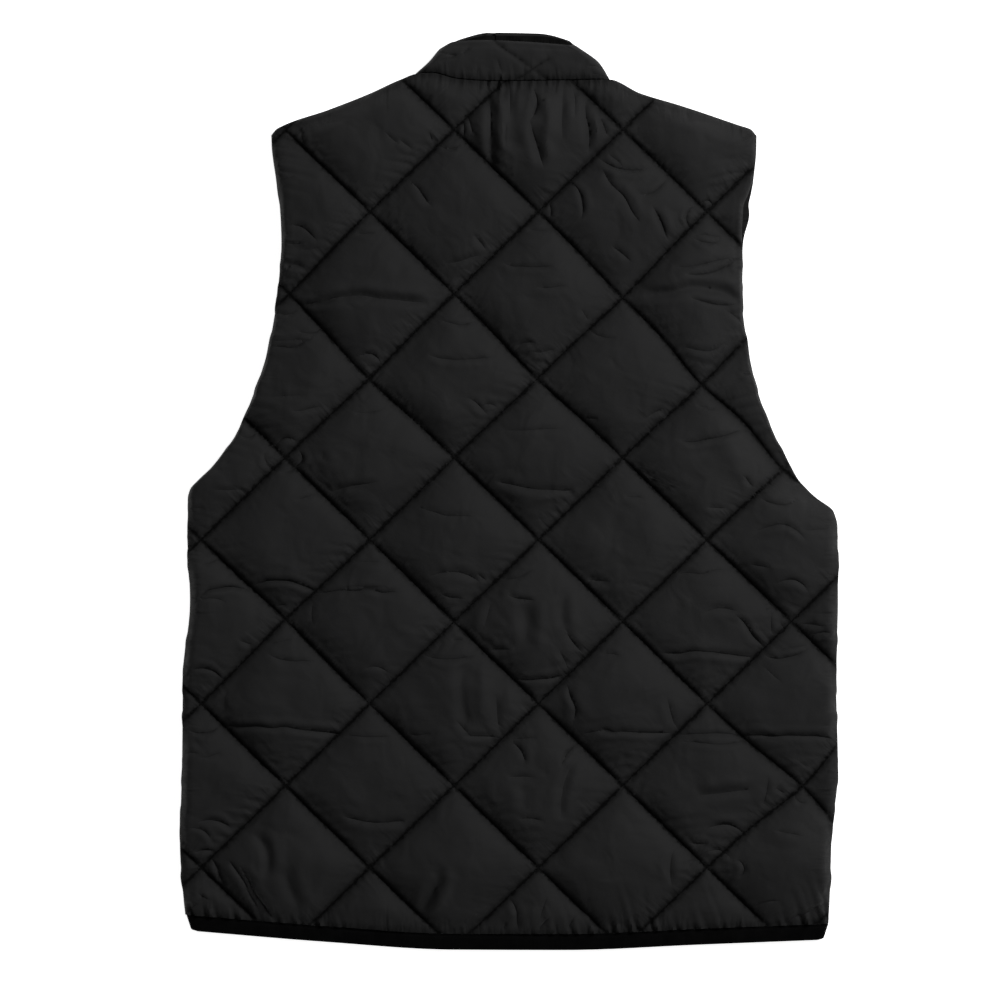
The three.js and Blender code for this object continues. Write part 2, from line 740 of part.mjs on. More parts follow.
function disc(radius, fromZ, toZ, y) {
  const geometry = new THREE.CylinderGeometry(radius, radius, toZ - fromZ, STUD_SIDES);
  return geometry.rotateX(Math.PI / 2).translate(CENTRE_FRONT, y, (fromZ + toZ) / 2);
}

function studPlaces() {
  return Array.from({ length: STUD_COUNT }, (_, i) => STUD_TOP - i * STUD_PITCH);
}

// Room for the studs: the caps are sunk in the lower lap, the bodies lie between the laps
function studRecesses() {
  let recesses = null;
  for (const y of studPlaces()) {
    const cap = disc(STUD_CAP_RADIUS + STUD_CLEARANCE, -5, STUD_CAP_DEPTH + STUD_CLEARANCE, y);
    const half = STUD_BODY_HALF + STUD_CLEARANCE;
    const body = disc(STUD_BODY_RADIUS + STUD_CLEARANCE, lapHeight(y) - half, lapHeight(y) + half, y);
    const pair = solidOfShape(cap).add(solidOfShape(body));
    recesses = recesses ? recesses.add(pair) : pair;
  }
  return recesses;
}

function cutFront(isLeft) {
  const far = 700;
  const edge = CENTRE_FRONT + (isLeft ? 1 : -1) * LAP_HALF_WIDTH;
  const beyond = new THREE.BoxGeometry(far, 2 * far, 200);
  beyond.translate(edge + (isLeft ? far : -far) / 2, 0, 0);
  const start = CENTRE_FRONT - (isLeft ? LAP_HALF_WIDTH + LAP_CLEARANCE : far);
  const end = CENTRE_FRONT + (isLeft ? far : LAP_HALF_WIDTH + LAP_CLEARANCE);
  const cut = solidOf(frontGeometry(isLeft))
    .subtract(solidOfShape(beyond))
    .subtract(lapBlock(start, end, isLeft, LAP_CLEARANCE / 2))
    .subtract(neckScoop())
    .subtract(studRecesses());
  return geometryOf(cut);
}

const vest = new THREE.Group();

function addPiece(name, geometry, material) {
  const piece = new THREE.Mesh(geometry, material);
  piece.name = name;
  vest.add(piece);
}

addPiece("back", backGeometry(), shellCloth);
addPiece("front_left", cutFront(true), shellCloth);
addPiece("front_right", cutFront(false), shellCloth);
addPiece("collar", collarGeometry(), shellCloth);
addPiece("inner_collar", innerCollarGeometry(), facingCloth);
addPiece("hem_binding", hemBindingGeometry(), bindingKnit);
studPlaces().forEach((y, i) => {
  addPiece(`stud_cap_${i + 1}`, disc(STUD_CAP_RADIUS, 0, STUD_CAP_DEPTH, y), studMetal);
  const [low, high] = [lapHeight(y) - STUD_BODY_HALF, lapHeight(y) + STUD_BODY_HALF];
  addPiece(`stud_body_${i + 1}`, disc(STUD_BODY_RADIUS, low, high, y), studMetal);
});

export default vest;
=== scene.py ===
# A quilted vest laid flat on its front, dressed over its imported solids.
# Lengths are in millimetres until a mesh is made, and Blender's objects are in metres.
import math

import bpy
import numpy as np
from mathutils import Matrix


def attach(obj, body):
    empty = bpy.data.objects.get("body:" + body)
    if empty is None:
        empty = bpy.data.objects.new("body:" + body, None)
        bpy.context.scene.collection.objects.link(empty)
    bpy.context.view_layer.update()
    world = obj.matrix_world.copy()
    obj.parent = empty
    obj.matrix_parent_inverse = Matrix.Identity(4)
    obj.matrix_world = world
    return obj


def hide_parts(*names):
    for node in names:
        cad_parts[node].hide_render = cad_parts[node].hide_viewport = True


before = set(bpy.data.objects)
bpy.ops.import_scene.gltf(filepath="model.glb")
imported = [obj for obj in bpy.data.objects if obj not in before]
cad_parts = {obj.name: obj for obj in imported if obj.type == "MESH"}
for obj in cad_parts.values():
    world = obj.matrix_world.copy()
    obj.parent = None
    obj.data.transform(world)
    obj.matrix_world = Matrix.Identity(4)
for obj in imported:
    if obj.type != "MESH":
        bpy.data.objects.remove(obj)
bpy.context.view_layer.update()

MM = 0.001

# Seams and layers, as in the solids
SEAM_GAP = 0.4
NECK_GAP = 0.7
LAYER_GAP = 0.6
CENTRE_FRONT = 3
FRONT_PAD = 13
FRONT_PAD_HEM = 4.5
FRONT_PAD_NECK = 8
FRONT_PAD_ARMHOLE = 4.5
BACK_SEAM = 4.6
BACK_PUFF = 10
BACK_EDGE = 1
SIDE_ROLL = 15
ARMHOLE_ROLL = 5
SIDE_ROLL_SHARE = 0.66           # the fine cloth turns under more tightly than its solid
ARMHOLE_ROLL_SHARE = 0.8
LEAST_BACK = 0.6                 # thinnest the padding gets
LEAST_FRONT = 0.8
HEM_FADE = 60
NECK_FADE = 45
UNDERARM_ROW = 0.53
NECK_SPAN = (-90, 96)            # where the top edge is the neck seam
NECK_GATHER_SPAN = (-80, 86)
ARMHOLE_SPAN = (5, 285)
ARMHOLE_HEM = (6, 1.6, 0.35)     # how far in its stitched groove is, its width and its depth

# Quilting lattice, as in the solids
QUILT_HALF_WIDTH = 68.6
QUILT_HALF_HEIGHT = 66.7
QUILT_X = -44.8
QUILT_Y = 293.9
QUILT_SLOPE = 0.5 * math.hypot(1 / QUILT_HALF_WIDTH, 1 / QUILT_HALF_HEIGHT)
QUILT_EDGE = math.hypot(QUILT_HALF_WIDTH, QUILT_HALF_HEIGHT)
STRAY_REACH = 45
QUILT_STRAYS = [  # x, y, dx, dy
    (223, 18, -6.7, -9.3),
    (157, 87, -4.4, -7.2),
    (239, -240, 8.8, -0.6),
    (-179, 160, 2.9, 0),
    (92, 157, 0, -3.4),
    (-113, 91, -0.9, -2.7),
    (23, 91, -1, -2.7),
    (-183, -104, 0, 2),
]

# Outline of the body, from the hem up
BODY_SECTIONS = [  # y, left, right
    (-352, -263, 260.5),
    (-334, -265.2, 261.4),
    (-286, -267.9, 262.6),
    (-225, -266.2, 267.9),
    (-151, -265.4, 266.4),
    (-90, -259.7, 267.9),
    (-29, -262.2, 267.9),
    (-17, -261.6, 264.6),
    (-5, -261.2, 249.4),
    (1, -259.6, 243),
    (8, -254, 236.6),
    (20, -241.6, 229.6),
    (44, -223.9, 217.4),
    (81, -207.6, 203),
    (117, -196.2, 195),
    (154, -189.7, 190.5),
    (203, -185.6, 190.5),
    (231, -186.8, 191.4),
    (243, -188.7, 196.4),
    (252, -189.7, 199),
    (283, -193.6, 201.9),
    (293, -193.8, 201.9),
]
TOP_LINE = [  # x, y
    (-193.8, 290),
    (-189, 295.5),
    (-146, 311),
    (-113, 324),
    (-89, 335),
    (-76, 339.5),
    (-64, 340.5),
    (-41, 335.4),
    (-13, 333.7),
    (46, 334.4),
    (82, 335),
    (107, 324),
    (139, 314.3),
    (188, 298),
    (197, 295),
    (201.9, 289.5),
]
HEM_LINE = [  # x, y
    (-263, -345.2),
    (-152, -354.2),
    (-46, -360.6),
    (47, -360.9),
    (156, -356.6),
    (260.5, -352.5),
]
FRONT_PEEK = 5
FRONT_PEEK_Y = 225
FRONT_PEEK_REACH = 15
FRONT_PEEK_DEPTH = 14

# Front closing
LAP_HALF_WIDTH = 14
LAP_CLEARANCE = 0.5
LAP_STEP_SLOPE = 0.8
LAP_SPLIT = [  # y, z
    (-400, 2),
    (-356, 2),
    (-300, 6.2),
    (270, 6.2),
    (316, 3.7),
    (400, 3.7),
]
STUD_PLACES = [268 - 134 * i for i in range(5)]
STUD_CAP_RADIUS = 7.5
STUD_CAP_DEPTH = 1.3
STUD_CAP_SIDES = 48
STUD_CAP_PROFILE = [  # radius, z
    (0, 0.25),
    (1.6, 0.2),
    (3.4, 0.08),
    (5, 0),
    (6.2, 0.02),
    (6.9, 0.12),
    (7.35, 0.38),
    (7.5, 0.7),
    (7.4, 1.0),
    (7, 1.22),
    (6.2, 1.3),
    (0, 1.3),
]

# Collar and hem binding
COLLAR_FOLDS = [  # v, left, right
    (0, -76, 82),
    (0.5, -65, 73.4),
    (1, -57, 55.4),
]
COLLAR_BACK_EDGE = [  # s, y
    (0, 360),
    (0.115, 366),
    (0.32, 367.2),
    (0.6, 366),
    (0.78, 364.6),
    (1, 362.5),
]
COLLAR_FRONT_EDGE = [  # s, y
    (0, 360),
    (0.17, 368.8),
    (0.37, 373.7),
    (0.72, 373),
    (0.94, 367.2),
    (1, 362.5),
]
COLLAR_PAD = [  # v, height over the slit
    (0, 4.4),
    (0.15, 6.4),
    (0.35, 7.6),
    (0.55, 7.8),
    (0.75, 7.2),
    (0.92, 5.6),
    (1, 3.8),
]
NECK_DROP = 26
COLLAR_SLIT = 8
FACING = 1.2
FACING_INSET = 6.4               # how far the inner layer's folds lie inside the outer one's
FACING_FOLD_END = 0.96           # its folds stay a little below the collar's edge
COLLAR_FOLD = 9
COLLAR_WALL = 4
COLLAR_WALL_SWELL = 2            # how much thicker the outer layer gets round its folds
COLLAR_CROSSING = (19.5, 343.4)
COLLAR_QUILT_SLOPE = 0.72
COLLAR_SHORT_LINE = 12           # how far the shorter line reaches on both sides of the crossing
COLLAR_STITCH_LIFT = 0.95        # the collar's sewing is slacker, so its painted shade beside the stitching is less dark than the body's
BINDING_PAD = [  # v, height over the slit
    (0, 3.9),
    (0.25, 4.3),
    (0.8, 4.1),
    (1, 2.4),
]
BINDING_SLIT = 4.2
BINDING_FOLD = 5
BINDING_HEIGHT = 12.8
BINDING_TAPER = 3.6              # how much shorter its lower edge is at each end
BINDING_CORNER = 7

# Finer form of the cloth
BODY_WIDTH = 530                 # about, for spacing the points
BODY_HEIGHT = 700
FRONT_WIDTH = 250
FINE_STEP = 2.1                  # spacing of the fine points of the back
FRONT_STEP = 3                   # the same on the flat underside
BACK_SIDE_LINES = [0, 0.5, 1.2, 2.2, 3.4, 4.8, 6.4]     # closer lines of points at the edges
BACK_END_LINES = [0, 0.8, 1.8, 3, 4.4, 6]
FRONT_SIDE_LINES = [0, 1, 2.2, 3.6, 5.2, 7.2, 9.6, 12.4, 16]
FRONT_END_LINES = [0, 1.5, 3.5, 6]
FRONT_LINES = 79                 # from those at the side to the lap
LAP_LINES = 9
LAP_PLAIN = 26                   # how far from the centre front the points keep to straight lines
FOLD_TURNS = range(-75, 76, 15)  # degrees round the folds of the strips
THREAD_PITCH = 3.2
THREAD_STITCH = 2.7
THREAD_RADIUS = 0.28
THREAD_LIFT = 0.12
THREAD_SIDES = 5
LATTICE_REACH = 8                # quilting lines on both sides of the lattice's origin
PILLOW_POWER = 3.6               # the higher, the flatter the pillows and the steeper their sides
GROOVE_DEPTH = 1.3               # how deep the quilting thread sinks into the shell
GROOVE_WIDTH = 1.6
UPPER_SIDE_SHARE = 0.3           # gathers on the upper sides of a diamond, against the lower ones
PUCKER_DEPTH = 0.3               # gathers beside the quilting
PUCKER_REACH = 9
PUCKER_WAVE = 10
PADDING_DRIFT = [  # cell, height, seed
    (48, 1.6, 21),
    (24, 1.1, 22),
    (11, 0.35, 23),
]
EDGE_GATHERS = {  # wave, lean, seed, reach, depth
    "hem": (11, 0.3, 31, 8, 1.9),
    "neck": (8, 0.1, 41, 8, 1.7),
    "armhole": (12, 0.2, 51, 12, 0.9),
}
EDGE_UNEVENNESS = 0.8            # how far the side edges stray from their smooth lines
CLOTH_LINKS = [  # steps along both axes of the grid, firmness
    (1, 0, 1),
    (0, 1, 1),
    (1, 1, 0.5),
    (1, -1, 0.5),
    (2, 0, 0.35),
    (0, 2, 0.35),
]
CLOTH_FULLNESS = 0.056           # extra length of cloth beside the stitching, as a share
CLOTH_FULLNESS_REACH = 14
CLOTH_SLACK = 0.004              # the same everywhere
CLOTH_ROUNDS = 110
CLOTH_HOLD = 0.012               # how firmly the padding holds the cloth in its form
CLOTH_CAP = 2.2                  # how far a point may move
GATHER_WAVE = 6                  # finest gathers, which only the material has
GATHER_LENGTH = 22
GATHER_REACH = 15
EDGE_GATHER_REACH = 13
GATHER_DEPTH = 3.4
GATHER_CALMNESS = 1.9            # the higher, the longer the stretches without gathers
EDGE_GATHER_CALMNESS = 1.1
FACET_DEPTH = 2.6                # broad unevenness, which only the material has
CRUMPLE_DEPTH = 0.6
WEAVE_DEPTH = 0.06
STITCH_PAINTED_SHADE = [  # distance from the stitching, share of the cloth's lightness kept under the painted shade beside it
    (0, 0.04),
    (0.7, 0.08),
    (1.3, 0.45),
    (2.2, 0.67),
    (3.6, 0.85),
    (6, 1),
]
STITCH_JITTER = 5                # how unevenly the painted shade spreads towards the stitching
EDGE_PAINTED_SHADE = 0.55                # share of the cloth's lightness kept under the painted shade where it turns under at the edges
EDGE_PAINTED_SHADE_REACH = 7
UNDERSIDE_GROOVE = 2.4           # quilting grooves in the underside that rests flat
UNDERSIDE_GROOVE_WIDTH = 6
UNDERSIDE_CREASES = 0.7          # depth of its creases, against the upper side's

CREASE_CLEAR = 8                 # what counts as far from any crease
CREASE_DEPTH = 1.15              # how deep the mesh is for each unit of the table
SOFT_CREASE_EXTRA = 0.7          # how much deeper the wide ones are
CREASE_CORE_DEPTH = 1.1          # depth of the narrow fold that only the material has
CREASE_CORE_WIDTH = 0.9
CREASE_SOFT_WIDTH = 3.4          # creases at least this wide have no such fold
CREASE_TAPER = 13                # how far from its ends a crease is shallower
CREASE_WANDER = 0.7              # how far a crease strays from its line, in its own widths
CREASE_RIDGES = (0.6, 0.15)      # heights of the ridges on its two sides, against its depth

NOISE_TILE = 64
NOISE_SHIFT = (500.3, 500.7)
CHANCE_FACTORS = (12.9898, 78.233, 37.719)
CHANCE_SPREAD = 43758.5453

# Stage, in metres
FLOOR_SIZE = 6.0
FLOOR_HEIGHT = -0.0004
FLOOR_GLOW = 0.9
WORLD_STRENGTH = 0.09
LIGHTS = [  # name, place, size, energy
    ("key", (1.8, 1.15, 2.0), 1.1, 74),
    ("fill", (-1.2, -0.6, 2.4), 2.0, 4),
]
PICTURE_WIDTH = 0.8142           # across the picture, at the height of the cloth
PICTURE_MIDDLE = (-0.0073, -0.0073)
CLOTH_HEIGHT = 0.012
CAMERA_DISTANCE = 5.0
SENSOR_WIDTH = 36.0              # in millimetres

# Creases: from (x0, y0) to (x1, y1), with the bow of the middle to the left of that way.
# Those with a depth below 0 are broad ridges.
CREASES = [  # x0, y0, x1, y1, bow, depth, width
    (-169, 294, -166, 278, 0, 0.5, 2),
    (-101, 291, -89, 282, 0, 0.5, 2.4),
    (-188, 252, -173, 256, 0, 0.5, 1.8),
    (-180, 216, -156, 204, 3.2, 0.9, 2.2),
    (-181, 201, -167, 202, 0, 0.8, 2),
    (-169, 195, -154, 198, 0, 0.4, 1.8),
    (-183, 182, -167, 182, 2.4, 1.2, 3),
    (-125, 210, -109, 210, 0, 0.7, 1.6),
    (-17, 322, -13, 264, 0, 1.5, 3.2),
    (-8, 320, -5, 276, 0, -0.9, 3.6),
    (2, 328, 2, 305, 0, 0.7, 2.6),
    (-2, 300, -3, 278, 0, 0.8, 2.8),
    (19, 328, 17, 301, 3.6, 1.1, 2.4),
    (17, 301, 27, 264, 0.3, 1.2, 2.8),
    (28, 322, 34, 270, 0, -0.9, 4),
    (43, 326, 44, 286, 0, 0.8, 3),
    (53, 328, 54, 303, 0, 0.8, 2.6),
    (61, 318, 64, 275, 1.7, 1.4, 2.8),
    (70, 306, 72, 284, 0, -0.7, 3),
    (74, 304, 79, 289, 0, 1, 1.8),
    (-37, 300, -37, 288, 0, 0.9, 1.6),
    (-34, 306, -30, 291, 0, 0.6, 2),
    (-57, 280, -40, 281, -2.8, 0.9, 1.6),
    (-79, 252, -63, 232, -0.8, 0.9, 2.2),
    (-64, 292, -62, 284, 0, 0.5, 1.6),
    (-89, 286, -78, 278, 0, 0.5, 1.8),
    (-28, 208, -18, 197, 0.6, 0.7, 2.2),
    (-51, 185, -23, 191, 0, 0.6, 2.4),
    (52, 250, 59, 222, 2.8, 1, 2),
    (33, 234, 33, 222, 0, 0.7, 1.6),
    (-4, 185, 34, 182, -2.1, 1, 1.6),
    (23, 165, 47, 166, 0, 0.7, 2),
    (15, 212, 31, 212, 0, 0.6, 1.6),
    (74, 270, 112, 262, -5.2, 1.2, 2),
    (81, 273, 91, 266, 0, 0.7, 1.6),
    (104, 241, 128, 254, -3.8, 0.8, 2),
    (77, 260, 105, 221, -0.1, 1, 2.6),
    (117, 230, 128, 205, 0.1, 1.4, 2.4),
    (151, 232, 147, 213, -5.1, 0.9, 1.6),
    (156, 233, 166, 233, 3.3, 0.9, 1.6),
    (150, 206, 171, 204, -2.7, 1, 1.7),
    (151, 209, 173, 208, 0, 0.7, 1.6),
    (84, 199, 99, 187, 0, 0.9, 2.4),
    (136, 182, 180, 190, -1.7, 0.8, 2),
    (144, 176, 184, 188, -4.6, 1.2, 2),
    (114, 161, 186, 156, 5.1, 1.4, 3.6),
    (149, 156, 185, 152, -2.4, 1, 1.8),
    (-188, 145, -173, 147, -3, 0.8, 1.6),
    (-173, 131, -154, 132, -3.7, 0.8, 1.7),
    (-194, 121, -165, 124, 0, 0.6, 1.8),
    (-194, 117, -161, 123, -2.9, 1, 1.8),
    (-195, 76, -165, 77, 0, 0.4, 2.2),
    (-177, 64, -152, 68, 0, 0.7, 1.8),
    (-129, 65, -101, 68, -2.9, 0.5, 1.7),
    (-168, 151, -155, 154, 0, 0.9, 1.8),
    (-122, 109, -104, 105, 4.7, 1.1, 1.7),
    (-219, 46, -206, 47, -3.4, 0.7, 1.7),
    (-189, 39, -173, 41, 3.2, 1.3, 1.9),
    (-199, 31, -186, 16, -4.9, 1, 1.8),
    (-186, 16, -173, 21, -3, 0.8, 1.6),
    (-171, 33, -173, 20, 3.3, 0.9, 1.7),
    (-151, 33, -151, 24, 0, 0.5, 3),
    (-240, 1, -215, 0, 0, 0.5, 2),
    (-145, -1, -108, 7, 1.9, 1.1, 2.6),
    (-174, -7, -156, -2, 0, 0.6, 1.7),
    (-260, -14, -248, -14, 0, 0.4, 1.8),
    (-55, 138, -27, 138, -2.9, 0.8, 1.7),
    (-63, 109, -15, 108, -2.1, 0.9, 1.9),
    (-33, 76, -18, 62, 0.3, 0.8, 2),
    (-21, 69, -10, 68, 1.6, 0.7, 1.6),
    (58, 147, 64, 138, 0, 0.5, 2),
    (65, 130, 86, 125, -2.9, 0.7, 1.8),
    (5, 118, 21, 120, 1.6, 0.8, 2),
    (19, 112, 37, 116, 0, 0.6, 1.8),
    (-3, 49, 42, 50, 0, 0.6, 1.9),
    (-7, 8, 50, 1, -2.6, 1.1, 2.6),
    (-72, -14, -29, -20, -1.9, 0.6, 2.2),
    (62, 59, 72, 59, 0, 0.7, 2),
    (177, 146, 190, 135, 2.3, 0.8, 1.8),
    (142, 118, 173, 116, -2.6, 0.6, 2),
    (189, 96, 199, 94, 0, 0.7, 1.7),
    (112, 60, 126, 67, 1.8, 1.2, 2),
    (152, 70, 169, 68, -1.6, 0.5, 1.6),
    (140, 41, 189, 49, -3.3, 1.2, 2),
    (191, 12, 199, 3, 0, 0.9, 2),
    (205, -7, 234, -7, -4.5, 0.9, 2),
    (160, -13, 177, -15, 0, 0.6, 1.8),
    (94, -5, 109, -5, 0, 0.6, 1.8),
    (201, -32, 240, -38, 7, 0.8, 2),
    (237, -31, 262, -30, 0, 0.5, 1.8),
    (-253, -88, -213, -81, 6.5, 1.5, 1.9),
    (-255, -92, -229, -91, 3.6, 0.5, 1.8),
    (-206, -76, -159, -81, 5.6, 1.6, 1.7),
    (-156, -83, -94, -82, 1.3, 1.2, 1.9),
    (-133, -77, -100, -77, 0, 0.4, 1.8),
    (-126, -58, -104, -57, 0, 0.5, 1.8),
    (-251, -60, -237, -55, 0, 0.7, 1.7),
    (-189, -93, -181, -93, 0, 0.7, 1.8),
    (-199, -125, -174, -120, 0, 0.5, 1.8),
    (-195, -132, -158, -137, -3.6, 0.8, 1.7),
    (-219, -122, -209, -126, 0, 0.6, 1.8),
    (-261, -149, -234, -151, 4.9, 1.1, 1.8),
    (-160, -92, -160, -108, 0, 0.5, 2),
    (-118, -145, -99, -147, 2.8, 0.7, 2),
    (-226, -192, -141, -197, 2.4, 1.4, 2),
    (-133, -199, -96, -199, 0, 0.8, 1.7),
    (-261, -195, -236, -191, -4, 1.2, 1.9),
    (-230, -160, -231, -180, 0, 0.5, 3),
    (-64, -69, -24, -74, 6, 1.1, 2.6),
    (-26, -67, -18, -72, 0, 0.8, 1.7),
    (-55, -85, -37, -88, 0, 0.8, 1.8),
    (-9, -74, 20, -64, -1.6, 0.8, 1.6),
    (0, -85, 21, -89, 0, 1.1, 1.8),
    (45, -81, 46, -113, -3.7, 0.9, 3.6),
    (46, -113, 60, -131, -1.1, 1.1, 2.2),
    (40, -129, 49, -146, 0, 0.8, 2.4),
    (-15, -90, -19, -110, 0, 0.5, 2.6),
    (13, -92, 14, -124, 0, 0.6, 4),
    (25, -88, 24, -128, 0, -0.9, 5),
    (-22, -90, -26, -118, 0, -0.5, 5),
    (-15, -129, 0, -128, 0, 0.9, 2.2),
    (6, -153, 46, -150, -2.4, 1.3, 1.8),
    (-68, -134, -29, -133, -2.8, 0.8, 1.7),
    (-46, -122, -38, -121, 0, 0.7, 1.6),
    (-37, -140, -35, -190, -2.1, 0.8, 4),
    (-22, -140, -20, -188, -2, -0.9, 4.6),
    (-10, -165, -7, -195, -1.8, 1.2, 2.8),
    (0, -160, 3, -184, 0, -0.6, 4),
    (-42, -186, -33, -197, 0, 0.6, 2),
    (47, -159, 53, -188, 2.3, 1.4, 1.9),
    (59, -198, 87, -196, 2.5, 0.8, 2),
    (65, -72, 81, -74, 0, 0.8, 2.2),
    (196, -61, 211, -63, 0, 0.7, 2.4),
    (217, -76, 243, -82, 6.5, 1.2, 2),
    (136, -68, 177, -64, -0.3, 0.7, 2),
    (157, -99, 186, -97, 2.4, 1, 2.8),
    (185, -102, 206, -127, 0.3, 1.5, 2),
    (208, -101, 215, -94, 3.2, 0.8, 1.6),
    (213, -99, 213, -116, 0, 0.7, 1.8),
    (220, -107, 224, -113, 0, 0.7, 1.6),
    (237, -109, 257, -109, 0, 0.7, 1.7),
    (248, -116, 261, -115, 0, 0.7, 1.6),
    (128, -132, 195, -134, 1.6, 1.3, 2.2),
    (208, -133, 241, -129, -4.1, 1.2, 1.8),
    (217, -129, 243, -125, 0, 0.6, 1.7),
    (74, -132, 90, -133, 0, 0.6, 1.8),
    (129, -168, 138, -195, -2.9, 1, 2.6),
    (74, -195, 130, -197, -0.8, 1, 1.8),
    (139, -199, 193, -202, 4, 1.1, 1.9),
    (142, -204, 190, -204, -1.2, 0.8, 1.6),
    (194, -199, 261, -201, 1.5, 1.4, 2),
    (207, -142, 221, -156, 0, 0.4, 2.4),
    (-263, -213, -252, -213, 0, 0.6, 1.7),
    (-251, -217, -234, -213, 0, 0.6, 1.7),
    (-252, -268, -226, -274, 3.5, 1, 2),
    (-261, -274, -242, -283, 4.3, 0.8, 1.8),
    (-256, -294, -239, -293, 1.3, 1, 1.8),
    (-206, -278, -194, -312, 2.6, 1.3, 3.6),
    (-218, -307, -193, -348, -0.2, 1.8, 2.3),
    (-227, -302, -205, -340, 1.2, 1.4, 1.9),
    (-243, -299, -231, -321, 0.8, 1.4, 1.8),
    (-184, -307, -171, -341, 0.5, 1.1, 4),
    (-72, -343, -55, -313, 0.6, 1, 3.2),
    (-253, -328, -243, -332, 0, 0.6, 2),
    (-133, -265, -85, -268, -2.9, 1, 2.4),
    (-82, -198, -64, -198, 0, 0.5, 1.8),
    (-37, -199, -7, -200, 0, 0.8, 1.8),
    (2, -202, 21, -200, 0, 0.7, 1.7),
    (2, -204, 13, -223, 3.3, 1, 2),
    (0, -232, 20, -231, 0, 0.7, 2),
    (13, -238, 14, -261, 0, 0.7, 4),
    (8, -267, 28, -267, 0, 0.7, 2),
    (42, -224, 55, -205, 1.9, 1.2, 1.7),
    (53, -220, 42, -265, -3.4, 1.1, 3),
    (-55, -304, -68, -339, 0.3, 1.1, 3.8),
    (2, -333, 8, -358, 0.7, 1.1, 2),
    (33, -346, 23, -359, 0, 0.9, 1.8),
    (54, -346, 46, -359, 0, 0.9, 1.8),
    (-2, -351, -6, -359, 0, 0.8, 1.6),
    (30, -330, 25, -348, 0, 0.7, 2.4),
    (155, -246, 196, -243, -0.4, 1.2, 3),
    (161, -275, 191, -279, 5.6, 1.1, 2),
    (147, -287, 161, -286, 0, 0.8, 2),
    (160, -295, 180, -298, 4.1, 0.9, 1.7),
    (147, -308, 155, -298, 2.6, 0.8, 1.6),
    (186, -300, 186, -315, 4.9, 0.9, 1.8),
    (133, -292, 133, -321, -1.6, 1.2, 2.6),
    (196, -339, 221, -334, 1.7, 0.9, 2),
    (225, -353, 259, -336, 1.8, 1, 2.2),
    (215, -276, 239, -280, 0, 0.6, 2.4),
    (211, -233, 205, -257, 1.9, 0.8, 2.2),
    (217, -241, 224, -245, 0, 0.7, 2),
    (232, -248, 245, -251, -3.6, 0.7, 1.6),
    (-152, 154, -72, 153, 4.5, 1.8, 3),
]

# Creases of the collar
COLLAR_CREASES = [  # x0, y0, x1, y1, bow, depth, width
    (-60, 357, -39, 356, -0.8, 0.9, 1.6),
    (-39, 356, -31, 361, 0, 0.6, 1.5),
    (-57, 349, -43, 354, 0.8, 0.7, 1.6),
    (64, 346, 78, 341, 1, 0.8, 1.6),
    (66, 340, 78, 338, 0, 0.5, 1.4),
    (-10, 352, -5, 338, 0, 0.5, 1.6),
    (13, 348, 13, 338, 0, 0.4, 1.6),
    (-25, 345, -28, 337, 0, 0.4, 1.5),
    (44, 362, 58, 357, 0.5, 0.5, 1.5),
]


def mix(a, b, t):
    return a + (b - a) * t


def smooth(t):
    held = np.clip(t, 0, 1)
    return held * held * (3 - 2 * held)


def roll(t):
    return np.sqrt(1 - (1 - np.clip(t, 0, 1)) ** 2)


def between(x, low, high, ease):
    """1 where x lies between low and high, and 0 outside, with soft ends."""
    return smooth((x - low) / ease) * smooth((high - x) / ease)


def through(rows, at=0, value=1):
    """A smooth curve through two columns of a table that never overshoots them."""
    xs = np.array([row[at] for row in rows], float)
    ys = np.array([row[value] for row in rows], float)
    rise = np.diff(ys) / np.diff(xs)
    slopes = np.concatenate([rise[:1], np.zeros(len(xs) - 2), rise[-1:]])
    same = np.flatnonzero(rise[:-1] * rise[1:] > 0)
    slopes[same + 1] = 2 * rise[same] * rise[same + 1] / (rise[same] + rise[same + 1])

    def curve(x):
        held = np.clip(x, xs[0], xs[-1])
        i = np.clip(np.searchsorted(xs, held) - 1, 0, len(xs) - 2)
        span = xs[i + 1] - xs[i]
        t = (held - xs[i]) / span
        bend = t * (1 - t) * span
        return mix(ys[i], ys[i + 1], t * t * (3 - 2 * t)) + bend * (
            (1 - t) * slopes[i] - t * slopes[i + 1]
        )

    return curve


body_left = through(BODY_SECTIONS, 0, 1)
body_right = through(BODY_SECTIONS, 0, 2)
top_y = through(TOP_LINE)
hem_y = through(HEM_LINE)
lap_height = through(LAP_SPLIT)
collar_left = through(COLLAR_FOLDS, 0, 1)
collar_right = through(COLLAR_FOLDS, 0, 2)
collar_back_top = through(COLLAR_BACK_EDGE)
collar_front_top = through(COLLAR_FRONT_EDGE)
collar_pad = through(COLLAR_PAD)
binding_pad = through(BINDING_PAD)

HEM_LEFT, HEM_RIGHT = HEM_LINE[0], HEM_LINE[-1]
TIP_LEFT, TIP_RIGHT = TOP_LINE[0], TOP_LINE[-1]


def sides_at(v):
    """The x of both side edges of the body, at a share of its height."""
    left = body_left(mix(HEM_LEFT[1], TIP_LEFT[1], v))
    right = body_right(mix(HEM_RIGHT[1], TIP_RIGHT[1], v))
    return left, right


def ends_at(u):
    """The y of the hem and of the top of the body, at a share of its width."""
    hem = hem_y(mix(HEM_LEFT[0], HEM_RIGHT[0], u))
    top = top_y(mix(TIP_LEFT[0], TIP_RIGHT[0], u))
    return hem, top


class Place:
    """Places in the body: x and y, and how far each is from the side, the hem and the top."""

    def __init__(self, u, v):
        self.u, self.v = u, v
        left, right = sides_at(v)
        hem, top = ends_at(u)
        self.x = mix(left, right, u)
        self.y = mix(hem, top, v)
        self.side = np.minimum(u, 1 - u) * (right - left)
        self.hem = v * (top - hem)
        self.top = (1 - v) * (top - hem)


